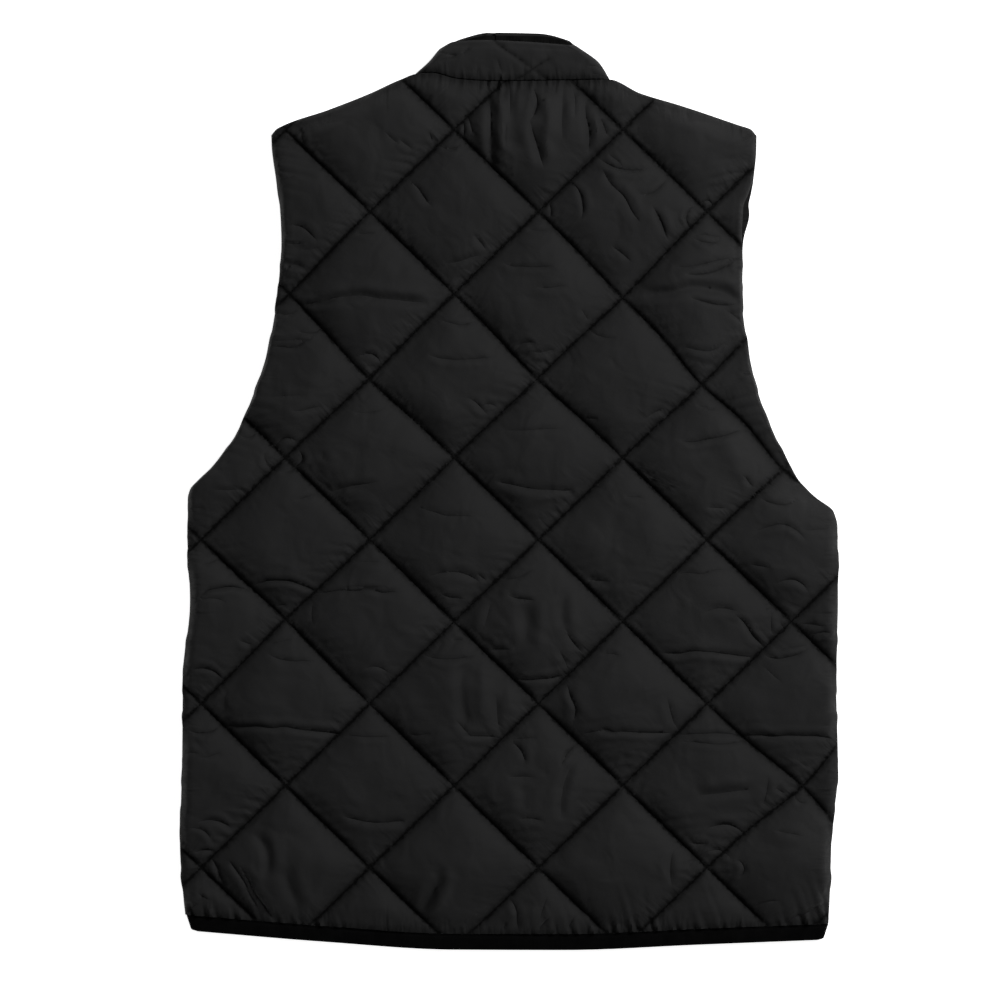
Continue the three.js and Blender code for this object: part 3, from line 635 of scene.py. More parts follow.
def place_at(x, y):
    """The place of the body at x and y, found by a few steps of correction."""
    u, v = np.full_like(x, 0.5), np.full_like(y, 0.5)
    for _ in range(12):
        left, right = sides_at(v)
        u = np.clip((x - left) / (right - left), 0, 1)
        hem, top = ends_at(u)
        v = np.clip((y - hem) / (top - hem), 0, 1)
    return Place(u, v)


def lattice(x, y):
    """Place in the quilting: both numbers are whole on the stitch lines."""
    dx, dy = 0, 0
    for stray_x, stray_y, stray_dx, stray_dy in QUILT_STRAYS:
        pull = np.exp(-((x - stray_x) ** 2 + (y - stray_y) ** 2) / STRAY_REACH**2)
        dx = dx + stray_dx * pull
        dy = dy + stray_dy * pull
    across = (x - dx - QUILT_X) / QUILT_HALF_WIDTH
    along = (y - dy - QUILT_Y) / QUILT_HALF_HEIGHT
    return (across - along) / 2, (across + along) / 2


def off_line(value):
    """Signed distance from the nearest stitch line of one of the two families."""
    return (value - np.round(value)) / QUILT_SLOPE


def onto_stitching(x, y, reach):
    """Draws points onto the stitch lines that pass within reach of them."""
    for family in (0, 1):
        off = off_line(lattice(x, y)[family])
        step = np.where(np.abs(off) < reach, off / (2 * QUILT_SLOPE), 0)
        x = x - step / QUILT_HALF_WIDTH
        y = y + (step, -step)[family] / QUILT_HALF_HEIGHT
    return x, y


def pillow(x, y):
    """Rise of the padding, from 0 on a stitch line to 1 in mid diamond."""
    rising, falling = lattice(x, y)
    swell = [1 - (1 - 2 * np.abs(a - np.round(a))) ** PILLOW_POWER for a in (rising, falling)]
    return swell[0] * swell[1]


def stitch_distance(x, y):
    rising, falling = lattice(x, y)
    return np.minimum(np.abs(off_line(rising)), np.abs(off_line(falling)))


def noise(x, y, cell, seed):
    """A smooth uneven field between -1 and 1, with bumps about one cell wide."""
    table = np.random.default_rng(seed).uniform(-1, 1, (NOISE_TILE, NOISE_TILE))
    gx, gy = x / cell + NOISE_SHIFT[0], y / cell + NOISE_SHIFT[1]
    i, j = np.floor(gx).astype(int), np.floor(gy).astype(int)
    fx, fy = smooth(gx - i), smooth(gy - j)
    i0, j0 = i % NOISE_TILE, j % NOISE_TILE
    i1, j1 = (i + 1) % NOISE_TILE, (j + 1) % NOISE_TILE
    low = mix(table[i0, j0], table[i1, j0], fx)
    high = mix(table[i0, j1], table[i1, j1], fx)
    return mix(low, high, fy)


def chance(*numbers):
    """A fixed number between 0 and 1 that looks random, one for each set of numbers."""
    mixed = sum(np.asarray(a) * b for a, b in zip(numbers, CHANCE_FACTORS))
    return np.mod(np.sin(mixed) * CHANCE_SPREAD, 1)


def ripples(along, away, wave, lean, seed):
    """Uneven small folds that run away from a seam, with some places calm."""
    turn = 2 * math.pi
    slanted = along + lean * away + 0.25 * wave * noise(along, away, 2.7 * wave, seed)
    fold = np.sin(turn * slanted / wave) + 0.7 * np.sin(turn * slanted / (0.61 * wave) + seed)
    strength = np.clip(0.5 + 0.9 * noise(along, 0 * along, 3.3 * wave, seed + 1), 0, 1.3)
    return fold * strength


def quilting_puckers(x, y):
    """Gathers that the quilting draws into the shell on both sides of each line."""
    total = 0
    rising, falling = lattice(x, y)
    for family, (across, along) in enumerate(((rising, falling), (falling, rising))):
        away = off_line(across)
        line, side = np.round(across), np.sign(away)
        phase = 400 * chance(line, side, family + 1)
        length = along * QUILT_EDGE + phase
        reach = PUCKER_REACH * (0.6 + 0.8 * chance(line + 0.5, side, family + 3))
        below = np.where(side == (-1, 1)[family], 1, UPPER_SIDE_SHARE)
        fade = below * np.exp(-np.abs(away) / reach) * smooth(np.abs(away) / 2)
        total = total + ripples(length, away, PUCKER_WAVE, -0.7, 11 + family) * fade
    return PUCKER_DEPTH * total


def beside_crease(x, y, row):
    """Which points are near a crease, how far along it they are and how far off its bowed line."""
    x0, y0, x1, y1, bow, _, width = row
    reach = abs(bow) + 6 * width
    near = (
        (x > min(x0, x1) - reach) & (x < max(x0, x1) + reach)
        & (y > min(y0, y1) - reach) & (y < max(y0, y1) + reach)
    )
    length = math.hypot(x1 - x0, y1 - y0)
    ex, ey = (x1 - x0) / length, (y1 - y0) / length
    px, py = x[near] - x0, y[near] - y0
    along = px * ex + py * ey
    t = along / length
    wander = CREASE_WANDER * width * noise(along, 0 * along, 6 * width, int(abs(x0 + y0)) + 5)
    return near, t, py * ex - px * ey - bow * 4 * t * (1 - t) + wander, ex, ey


def crease_ends(t, row):
    """How much of a crease's depth there is at a share of its length."""
    length = math.hypot(row[2] - row[0], row[3] - row[1])
    taper = min(max(CREASE_TAPER / length, 0.16), 0.44)
    return smooth((t + 0.1) / taper) * smooth((1.1 - t) / taper)


def onto_creases(x, y, reach):
    """Draws points onto the bottoms of the creases, so that they stay sharp."""
    x, y = x.copy(), y.copy()
    for row in CREASES:
        near, t, off, ex, ey = beside_crease(x, y, row)
        upright = abs(ey) > abs(ex)
        step = off / (-ey if upright else ex)
        drawn = (np.abs(step) < reach) & (t > -0.02) & (t < 1.02)
        drawn &= stitch_distance(x[near], y[near]) > reach / 2
        step = np.where(drawn, step, 0)
        if upright:
            x[near] -= step
        else:
            y[near] -= step
    return x, y


def creases(x, y, table):
    """Troughs with a low ridge on one side, each along its own bowed line, and broad ridges."""
    total = np.zeros_like(x)
    for row in table:
        near, t, off, _, _ = beside_crease(x, y, row)
        depth, width = row[5:]
        ends = crease_ends(t, row)
        sharp, broad = np.exp(-np.abs(off) / width), np.exp(-((off / (1.25 * width)) ** 2))
        trough = -mix(sharp, broad, smooth((width - 2.3) / 1))
        ridge = np.exp(-(((np.abs(off) - 2.4 * width) / (1.6 * width)) ** 2))
        left, right = CREASE_RIDGES if chance(row[0], row[1]) > 0.5 else CREASE_RIDGES[::-1]
        ridges = np.where(off > 0, left, right) * ridge
        scale = CREASE_DEPTH * (1 + SOFT_CREASE_EXTRA * smooth((width - 2.2) / 1.5))
        total[near] += scale * depth * ends * (trough + ridges)
    return total


def edge_gathers(edge, along, away, uneven=0):
    """Gathers along one of the edges of the back, deepest at the edge itself."""
    wave, lean, seed, reach, depth = EDGE_GATHERS[edge]
    return depth * (ripples(along, away, wave, lean, seed) * np.exp(-away / (reach + uneven)))


def body_relief(x, y, side, hem, top, puff):
    """Everything on the outside of the back that is finer than its solid."""
    groove = -GROOVE_DEPTH * np.exp(-((stitch_distance(x, y) / GROOVE_WIDTH) ** 2))
    drift = sum(height * noise(x, y, cell, seed) for cell, height, seed in PADDING_DRIFT)
    hem_gathers = edge_gathers("hem", x, hem, 6 * noise(x, 0 * x, 14, 32))
    in_neck = between(x, *NECK_GATHER_SPAN, 14)
    on_armhole = between(y, *ARMHOLE_SPAN, 20)
    inset, width, depth = ARMHOLE_HEM
    hemmed = -depth * on_armhole * np.exp(-(((side - inset) / width) ** 2))
    return (
        groove
        + puff * drift
        + quilting_puckers(x, y)
        + creases(x, y, CREASES)
        + hem_gathers
        + in_neck * edge_gathers("neck", x, top)
        + on_armhole * edge_gathers("armhole", y, side)
        + hemmed
    )


def cloth_fullness(x, y, distance):
    """How much longer than its form the cloth is, most of it on the lower sides of the diamonds."""
    rising, falling = (off_line(value) for value in lattice(x, y))
    below = np.where(np.abs(rising) < np.abs(falling), rising < 0, falling > 0)
    share = np.where(below, 1, UPPER_SIDE_SHARE) * np.clip(0.65 + 1.6 * noise(x, y, 26, 91), 0, 1.8)
    return CLOTH_FULLNESS * share * np.exp(-distance / CLOTH_FULLNESS_REACH) * smooth(distance / 5)


def link_ends(grid, i, j):
    """Both ends of every link that goes i steps along the first axis and j along the second."""
    rows, columns = grid.shape[:2]
    if j < 0:
        return grid[: rows - i, -j:], grid[i:, : columns + j]
    return grid[: rows - i, : columns - j], grid[i:, j:]


def settle_cloth(form, free, fullness):
    """Simulates the shell as cloth that is cut larger than its form and buckles where it is held.

    Every link of the grid is drawn towards its own length of cloth, over and over. Points that
    aren't free, such as those on the stitching, stay where they are.
    """
    cloth = form.astype(np.float32)
    start = cloth.copy()
    freedom = free.astype(np.float32)[..., None]
    lengths = []
    for i, j, _ in CLOTH_LINKS:
        here, there = link_ends(form, i, j)
        full_here, full_there = link_ends(fullness, i, j)
        length = np.linalg.norm(there - here, axis=-1) * (1 + (full_here + full_there) / 2)
        lengths.append(length.astype(np.float32))
    for _ in range(CLOTH_ROUNDS):
        for (i, j, firmness), length in zip(CLOTH_LINKS, lengths):
            here, there = link_ends(cloth, i, j)
            free_here, free_there = link_ends(freedom, i, j)
            way = there - here
            now = np.sqrt(np.einsum("ijk,ijk->ij", way, way))
            shift = (0.25 * firmness * (1 - length / now))[..., None] * way
            here += shift * free_here
            there -= shift * free_there
        cloth += CLOTH_HOLD * (start - cloth)
    moved = cloth - start
    return form + np.clip(moved, -CLOTH_CAP, CLOTH_CAP)


def is_neck(x):
    return between(x, *NECK_SPAN, 16)


def layer_height(at):
    """Height of the surface where the fronts and the back lie on each other."""
    hem = mix(FRONT_PAD_HEM, FRONT_PAD, smooth(at.hem / HEM_FADE))
    neck = mix(FRONT_PAD_NECK, FRONT_PAD, smooth(at.top / NECK_FADE))
    armhole = smooth((at.v - UNDERARM_ROW + 0.09) / 0.1) * (1 - smooth(at.side / 55))
    return mix(np.minimum(hem, neck), FRONT_PAD_ARMHOLE, armhole)


def roll_width(v):
    side, armhole = SIDE_ROLL_SHARE * SIDE_ROLL, ARMHOLE_ROLL_SHARE * ARMHOLE_ROLL
    return mix(side, armhole, smooth((v - UNDERARM_ROW + 0.05) / 0.06))


def shoulder_roll(at):
    return mix(roll(at.top / ARMHOLE_ROLL), 1, is_neck(at.x))


def back_height(at, x, y):
    """Height of the outside of the back at x and y, which lie at or close to a place."""
    fade = smooth(at.side / 14 + 0.5) * smooth(at.hem / 24 + 0.2) * smooth(at.top / 24 + 0.2)
    puff = pillow(x, y) * fade
    relief = body_relief(x, y, at.side, at.hem, at.top, puff)
    full = np.maximum(BACK_SEAM + BACK_PUFF * puff + relief, BACK_EDGE + LEAST_BACK)
    rolled = roll(at.side / roll_width(at.v)) * shoulder_roll(at)
    return layer_height(at) + BACK_EDGE + (full - BACK_EDGE) * rolled


def graded(length, step, near):
    """Lines from 0 to 1 that start close together at both ends, at the distances near."""
    near = np.array(near, float)
    count = round((length - 2 * near[-1]) / step)
    inner = np.linspace(near[-1], length - near[-1], count + 1)
    return np.concatenate([near[:-1], inner, length - near[-2::-1]]) / length


def give_attribute(mesh, name, values):
    attribute = mesh.attributes.new(name, "FLOAT", "POINT")
    attribute.data.foreach_set("value", values.astype(np.float32))


def make_object(name, points, faces, material, fields=None):
    """A mesh object from points in millimetres, without the points that no face uses.

    fields are numbers that each point carries for the material.
    """
    used = np.unique(np.concatenate([np.ravel(face) for face in faces]))
    place = np.full(len(points), -1)
    place[used] = np.arange(len(used))
    mesh = bpy.data.meshes.new(name)
    rows = (row for block in faces for row in (block if block.ndim == 2 else [block]))
    lists = [place[row].tolist() for row in rows]
    mesh.from_pydata((points[used] * MM).tolist(), [], lists)
    mesh.polygons.foreach_set("use_smooth", [True] * len(mesh.polygons))
    mesh.set_sharp_from_angle(angle=math.radians(70))
    for field, values in (fields or {}).items():
        give_attribute(mesh, field, values[used])
    mesh.materials.append(material)
    thing = bpy.data.objects.new(name, mesh)
    bpy.context.scene.collection.objects.link(thing)
    return thing


def fine_faces(index, height):
    """Triangles over a grid of points, with each diagonal laid along the lower way."""
    a, b, c, d = index[:-1, :-1], index[1:, :-1], index[1:, 1:], index[:-1, 1:]
    ha, hb, hc, hd = height[:-1, :-1], height[1:, :-1], height[1:, 1:], height[:-1, 1:]
    turned = (hb + hd < ha + hc)[..., None]
    first = np.where(turned, np.stack([b, c, d], -1), np.stack([a, b, c], -1))
    second = np.where(turned, np.stack([d, a, b], -1), np.stack([a, c, d], -1))
    return np.concatenate([first.reshape(-1, 3), second.reshape(-1, 3)])


def plain_faces(index, step):
    """Large faces over a grid of points, whose outer ones take in every point of the edge."""
    last_i, last_j = index.shape[0] - 1, index.shape[1] - 1
    rows = []
    us = sorted(set(range(0, last_i, step)) | {last_i})
    vs = sorted(set(range(0, last_j, step)) | {last_j})
    for i0, i1 in zip(us[:-1], us[1:]):
        for j0, j1 in zip(vs[:-1], vs[1:]):
            low = [(i, j0) for i in (range(i0, i1) if j0 == 0 else [i0])]
            right = [(i1, j) for j in (range(j0, j1) if i1 == last_i else [j0])]
            high = [(i, j1) for i in (range(i1, i0, -1) if j1 == last_j else [i1])]
            left = [(i0, j) for j in (range(j1, j0, -1) if i0 == 0 else [j1])]
            rows.append(np.array([index[place] for place in low + right + high + left]))
    return rows


def crease_fields(x, y, table):
    """Distance from the nearest crease, and how deep that crease is there."""
    distance, depth = np.full_like(x, CREASE_CLEAR), np.zeros_like(x)
    for row in table:
        near, t, off, _, _ = beside_crease(x, y, row)
        ends = crease_ends(t, row)
        closer = (np.abs(off) < distance[near]) & (ends > 0)
        distance[near] = np.where(closer, np.abs(off), distance[near])
        narrow = smooth((CREASE_SOFT_WIDTH - row[6]) / 1.2)
        depth[near] = np.where(closer, row[5] * narrow * ends, depth[near])
    return {"crease": distance, "crease_depth": depth}


def quilting_fields(x, y):
    """What the shell's material needs to know of the sewing, at places in the uncut cloth."""
    rising, falling = lattice(x, y)
    at = place_at(x, y)
    beside = at.side < np.minimum(at.hem, at.top)
    return crease_fields(x, y, CREASES) | {
        "stitch": stitch_distance(x, y),
        "rising": rising,
        "falling": falling,
        "edge_away": np.minimum(at.side, np.minimum(at.hem, at.top)),
        "edge_along": np.where(beside, y, x),
    }


def padded_sheet(name, x, y, top, bottom, material, cut, fine_is_top, step):
    """A closed padded panel: one side fine, the other plain, joined round the rim.

    cut is the place of each point in the cloth before it settled.
    """
    shape = x.shape
    count = x.size
    points = np.concatenate([
        np.stack([x, y, top], -1).reshape(-1, 3),
        np.stack([x, y, bottom], -1).reshape(-1, 3),
    ])
    upper = np.arange(count).reshape(shape)
    lower = upper + count
    if fine_is_top:
        faces = [fine_faces(upper, top)] + [row[::-1] for row in plain_faces(lower, step)]
    else:
        faces = plain_faces(upper, step) + [fine_faces(lower, -bottom)[:, ::-1]]
    last_i, last_j = shape[0] - 1, shape[1] - 1
    loop = [(i, 0) for i in range(last_i)] + [(last_i, j) for j in range(last_j)]
    loop += [(i, last_j) for i in range(last_i, 0, -1)] + [(0, j) for j in range(last_j, 0, -1)]
    rim = np.array([
        (lower[here], lower[there], upper[there], upper[here])
        for here, there in zip(loop, loop[1:] + loop[:1])
    ])
    fields = quilting_fields(*(np.concatenate([a.ravel(), a.ravel()]) for a in cut))
    return make_object(name, points, faces + [rim], material, fields)


# Materials

class Graph:
    """The nodes of one material, with short ways to add to them."""

    def __init__(self, name):
        self.material = bpy.data.materials.new(name)
        self.material.use_nodes = True
        self.nodes = self.material.node_tree.nodes
        self.links = self.material.node_tree.links
        self.shader = self.nodes["Principled BSDF"]
        self.last_bump = None

    def feed(self, socket, value):
        """Gives an input a value or another node's output."""
        if isinstance(value, bpy.types.NodeSocket):
            self.links.new(value, socket)
        else:
            socket.default_value = value

    def add(self, kind, output, inputs=None, **settings):
        """An output of a new node, from its inputs by name and its settings."""
        node = self.nodes.new(kind)
        for name, value in settings.items():
            setattr(node, name, value)
        for name, value in (inputs or {}).items():
            self.feed(node.inputs[name], value)
        return node.outputs[output]

    def shade(self, inputs):
        for name, value in inputs.items():
            self.feed(self.shader.inputs[name], value)

    def calculate(self, operation, *values, clamp=False):
        """A Math node whose inputs are numbers or other nodes' outputs."""
        inputs = dict(enumerate(values))
        return self.add("ShaderNodeMath", "Value", inputs, operation=operation, use_clamp=clamp)

    def field(self, name):
        return self.add("ShaderNodeAttribute", "Fac", attribute_name=name)

    def coordinates(self):
        return self.add("ShaderNodeTexCoord", "Object")

    def noise(self, scale, detail, at=None, **inputs):
        """A noise texture at the object's own coordinates, or at others."""
        place = self.coordinates() if at is None else at
        inputs |= {"Vector": place, "Scale": scale, "Detail": detail}
        return self.add("ShaderNodeTexNoise", "Fac", inputs)

    def bands(self, scale, direction, **inputs):
        inputs |= {"Vector": self.coordinates(), "Scale": scale}
        return self.add(
            "ShaderNodeTexWave", "Fac", inputs, wave_type="BANDS", bands_direction=direction
        )

    def ranged(self, value, low, high, reach=1.0, way="LINEAR"):
        """Goes from low to high while a value goes from 0 to reach."""
        inputs = {"Value": value, "From Max": reach, "To Min": low, "To Max": high}
        return self.add("ShaderNodeMapRange", "Result", inputs, interpolation_type=way)

    def tint(self, scale, dark, light):
        """A colour that wanders between two shades over patches of cloth."""
        ramp = self.nodes.new("ShaderNodeValToRGB")
        for element, place, shade in zip(ramp.color_ramp.elements, (0.3, 0.7), (dark, light)):
            element.position = place
            element.color = (*shade, 1)
        self.feed(ramp.inputs["Fac"], self.noise(scale, 4.0, Roughness=0.55))
        return ramp.outputs["Color"]

    def bump(self, height, strength, depth):
        """Adds relief of a depth in millimetres on top of what there is."""
        inputs = {"Height": height, "Strength": strength, "Distance": depth * MM}
        if self.last_bump is not None:
            inputs["Normal"] = self.last_bump
        self.last_bump = self.add("ShaderNodeBump", "Normal", inputs)
        self.feed(self.shader.inputs["Normal"], self.last_bump)


def weave_height(graph, scale):
    """Crossing threads of a plain weave, as a height."""
    threads = [graph.bands(scale, way, Distortion=0.4, Detail=1.0) for way in ("X", "Y")]
    return graph.calculate("MAXIMUM", *threads)


def gathers_beside(graph, away, length, seed, reach, calmness):
    """Fine folds that run away from a seam, fading within reach of it, with calm stretches."""
    place = graph.add("ShaderNodeCombineXYZ", "Vector", {
        "X": graph.calculate("DIVIDE", length, GATHER_WAVE),
        "Y": seed,
        "Z": graph.calculate("DIVIDE", away, GATHER_LENGTH),
    })
    folds = graph.calculate("SUBTRACT", graph.noise(1.0, 1.5, place, Distortion=0.25), 0.5)
    strength = graph.calculate(
        "MULTIPLY_ADD", graph.noise(0.16, 0.0, place), 5.0, -calmness, clamp=True
    )
    uneven = graph.calculate("MULTIPLY_ADD", graph.noise(0.55, 1.0, place), 4.5, -1.25)
    spread = graph.calculate("DIVIDE", away, graph.calculate("MAXIMUM", uneven, 0.25))
    near = graph.ranged(spread, 1.0, 0.0, reach, "SMOOTHSTEP")
    return graph.calculate("MULTIPLY", folds, graph.calculate("MULTIPLY", near, strength))


def gather_height(graph):
    """Fine gathers beside the quilting, most of them on the lower sides, and along the edges."""
    away, along = graph.field("edge_away"), graph.field("edge_along")
    total = gathers_beside(graph, away, along, 0.5, EDGE_GATHER_REACH, EDGE_GATHER_CALMNESS)
    for across_name, along_name, lower in (("rising", "falling", -1), ("falling", "rising", 1)):
        across, along = graph.field(across_name), graph.field(along_name)
        line = graph.calculate("ROUND", across)
        off = graph.calculate("SUBTRACT", across, line)
        side = graph.calculate("SIGN", off)
        away = graph.calculate("ABSOLUTE", graph.calculate("DIVIDE", off, QUILT_SLOPE))
        length = graph.calculate("MULTIPLY", along, QUILT_EDGE)
        seed = graph.calculate("MULTIPLY", line, 7.31)
        seed = graph.calculate("ADD", seed, graph.calculate("MULTIPLY", side, 3.17))
        height = gathers_beside(graph, away, length, seed, GATHER_REACH, GATHER_CALMNESS)
        share = graph.calculate("MULTIPLY_ADD", side, 0.35 * lower, 0.65)
        total = graph.calculate("ADD", total, graph.calculate("MULTIPLY", height, share))
    return total


def crease_height(graph):
    """The narrow folds at the bottoms of the creases, as a height."""
    away = graph.calculate("MULTIPLY", graph.field("crease"), -1 / CREASE_CORE_WIDTH)
    core = graph.calculate("EXPONENT", away)
    deep = graph.calculate("MULTIPLY", core, graph.field("crease_depth"))
    return graph.calculate("MULTIPLY", deep, -1.0)


def painted_stitch_shade(graph):
    """Painted shade beside the stitching: the share of the cloth's lightness that is kept, low close
    to it.
    """
    jitter = graph.noise(260.0, 2.0)
    strayed = graph.calculate("MULTIPLY_ADD", jitter, STITCH_JITTER, -STITCH_JITTER / 2)
    away = graph.calculate("ADD", graph.field("stitch"), strayed)
    reach = STITCH_PAINTED_SHADE[-1][0]
    node = graph.nodes.new("ShaderNodeFloatCurve")
    curve = node.mapping.curves[0]
    for place, (distance, shade) in enumerate(STITCH_PAINTED_SHADE):
        if place < 2:
            curve.points[place].location = (distance / reach, shade)
        else:
            curve.points.new(distance / reach, shade)
    node.mapping.update()
    graph.feed(node.inputs["Value"], graph.calculate("DIVIDE", away, reach, clamp=True))
    return node.outputs["Value"]


def satin_nylon():
    graph = Graph("satin_nylon")
    cloth = graph.tint(9, (0.0140, 0.0140, 0.0143), (0.0172, 0.0172, 0.0174))
    edge_away = graph.field("edge_away")
    # painted shade where the cloth turns under at the edges and along the hem and neck seams
    edge = graph.ranged(edge_away, EDGE_PAINTED_SHADE, 1.0, EDGE_PAINTED_SHADE_REACH, "SMOOTHSTEP")
    # painted shade beside the stitching, multiplied into the base colour
    shade = graph.calculate("MULTIPLY", painted_stitch_shade(graph), edge)
    inputs = {0: cloth, "Scale": shade}
    graph.shade({
        "Base Color": graph.add("ShaderNodeVectorMath", "Vector", inputs, operation="SCALE"),
        "Specular IOR Level": 0.12,
        "Sheen Weight": 0.02,
        "Sheen Roughness": 0.5,
        "Roughness": graph.ranged(graph.noise(30.0, 3.0, Roughness=0.5), 0.74, 0.84),
    })
    graph.bump(crease_height(graph), 1.0, CREASE_CORE_DEPTH)
    graph.bump(gather_height(graph), 1.0, GATHER_DEPTH)
    graph.bump(graph.noise(42.0, 1.5, Distortion=0.6), 1.0, FACET_DEPTH)
    graph.bump(graph.noise(120.0, 3.0, Roughness=0.6), 0.5, CRUMPLE_DEPTH)
    graph.bump(weave_height(graph, 700.0), 0.25, WEAVE_DEPTH)
    return graph.material


def matte_knit(name, dark, light, rib_scale):
    """A knit of fine ribs with a dull, slightly fuzzy face."""
    graph = Graph(name)
    graph.shade({
        "Base Color": graph.tint(90, dark, light),
        "Specular IOR Level": 0.03,
        "Roughness": 0.92,
    })
    graph.bump(graph.bands(rib_scale, "X", Distortion=0.8, Detail=2.0), 0.6, 0.25)
    graph.bump(graph.noise(900.0, 4.0), 0.5, 0.2)
    return graph.material


def lacquered_metal():
    graph = Graph("lacquered_metal")
    wear = graph.noise(700.0, 5.0)
    graph.shade({
        "Base Color": graph.tint(260, (0.02, 0.02, 0.022), (0.045, 0.045, 0.048)),
        "Metallic": 0.9,
        "Coat Weight": 0.3,
        "Roughness": graph.ranged(wear, 0.22, 0.5),
    })
    graph.bump(wear, 0.15, 0.05)
    return graph.material


def spun_thread():
    graph = Graph("spun_thread")
    graph.shade({
        # black thread, painted much darker than the black shell as the shade of the groove it lies
        # in
        "Base Color": graph.tint(400, (0.0008, 0.0008, 0.0009), (0.0016, 0.0016, 0.0018)),
        "Specular IOR Level": 0.04,
        "Roughness": 0.7,
    })
    graph.bump(graph.bands(900.0, "DIAGONAL", Distortion=1.0), 0.5, 0.1)
    return graph.material


shell_cloth = satin_nylon()
facing_cloth = matte_knit("brushed_knit", (0.003, 0.003, 0.003), (0.0086, 0.0086, 0.0084), 260)
binding_cloth = matte_knit("elastic_knit", (0.0014, 0.0014, 0.0015), (0.0028, 0.0028, 0.0029), 300)
stud_metal = lacquered_metal()
sewing_thread = spun_thread()


# The body panels

def make_back():
    us = graded(BODY_WIDTH, FINE_STEP, BACK_SIDE_LINES)
    vs = graded(BODY_HEIGHT, FINE_STEP, BACK_END_LINES)
    at = Place(*np.meshgrid(us, vs, indexing="ij"))
    inside = smooth((at.side - 2) / 5) * smooth((at.hem - 2) / 4) * smooth((at.top - 2) / 4)
    x, y = onto_stitching(at.x, at.y, 0.36 * FINE_STEP)
    x, y = onto_creases(x, y, 0.5 * FINE_STEP)
    x, y = mix(at.x, x, inside), mix(at.y, y, inside)
    layer = layer_height(at)
    outward = np.where(at.u < 0.5, -1, 1) * smooth(1 - at.side / 22) * smooth(at.hem / 10)
    uneven = noise(y, 0 * y, 13, 101) + 0.6 * noise(y, 0 * y, 6, 102)
    x = x + EDGE_UNEVENNESS * outward * uneven * smooth(at.top / 12)
    form = np.stack([x, y, back_height(at, x, y)], -1)
    distance = stitch_distance(x, y)
    free = smooth((distance - 0.2) / 1.2) * smooth((at.side - 1) / 4)
    free = free * smooth((at.hem - 1) / 3) * smooth((at.top - 1) / 3)
    fullness = CLOTH_SLACK + cloth_fullness(x, y, distance)
    cloth = settle_cloth(form, free, fullness)
    top = np.maximum(cloth[..., 2], layer + BACK_EDGE + 0.3 * np.minimum(at.side, 1))
    return padded_sheet(
        "quilted_back", cloth[..., 0], cloth[..., 1], top, layer, shell_cloth, (x, y), True, 12
    )


def scoop_y(x):
    """The front neck seam, lower than the back one."""
    left, right = collar_left(0), collar_right(0)
    s = np.clip((x - left) / (right - left), 0, 1)
    ends = mix(top_y(left), top_y(right), s)
    drop = NECK_DROP * 4 * s * (1 - s)
    return np.where((x > left) & (x < right), ends - drop, 1000.0)


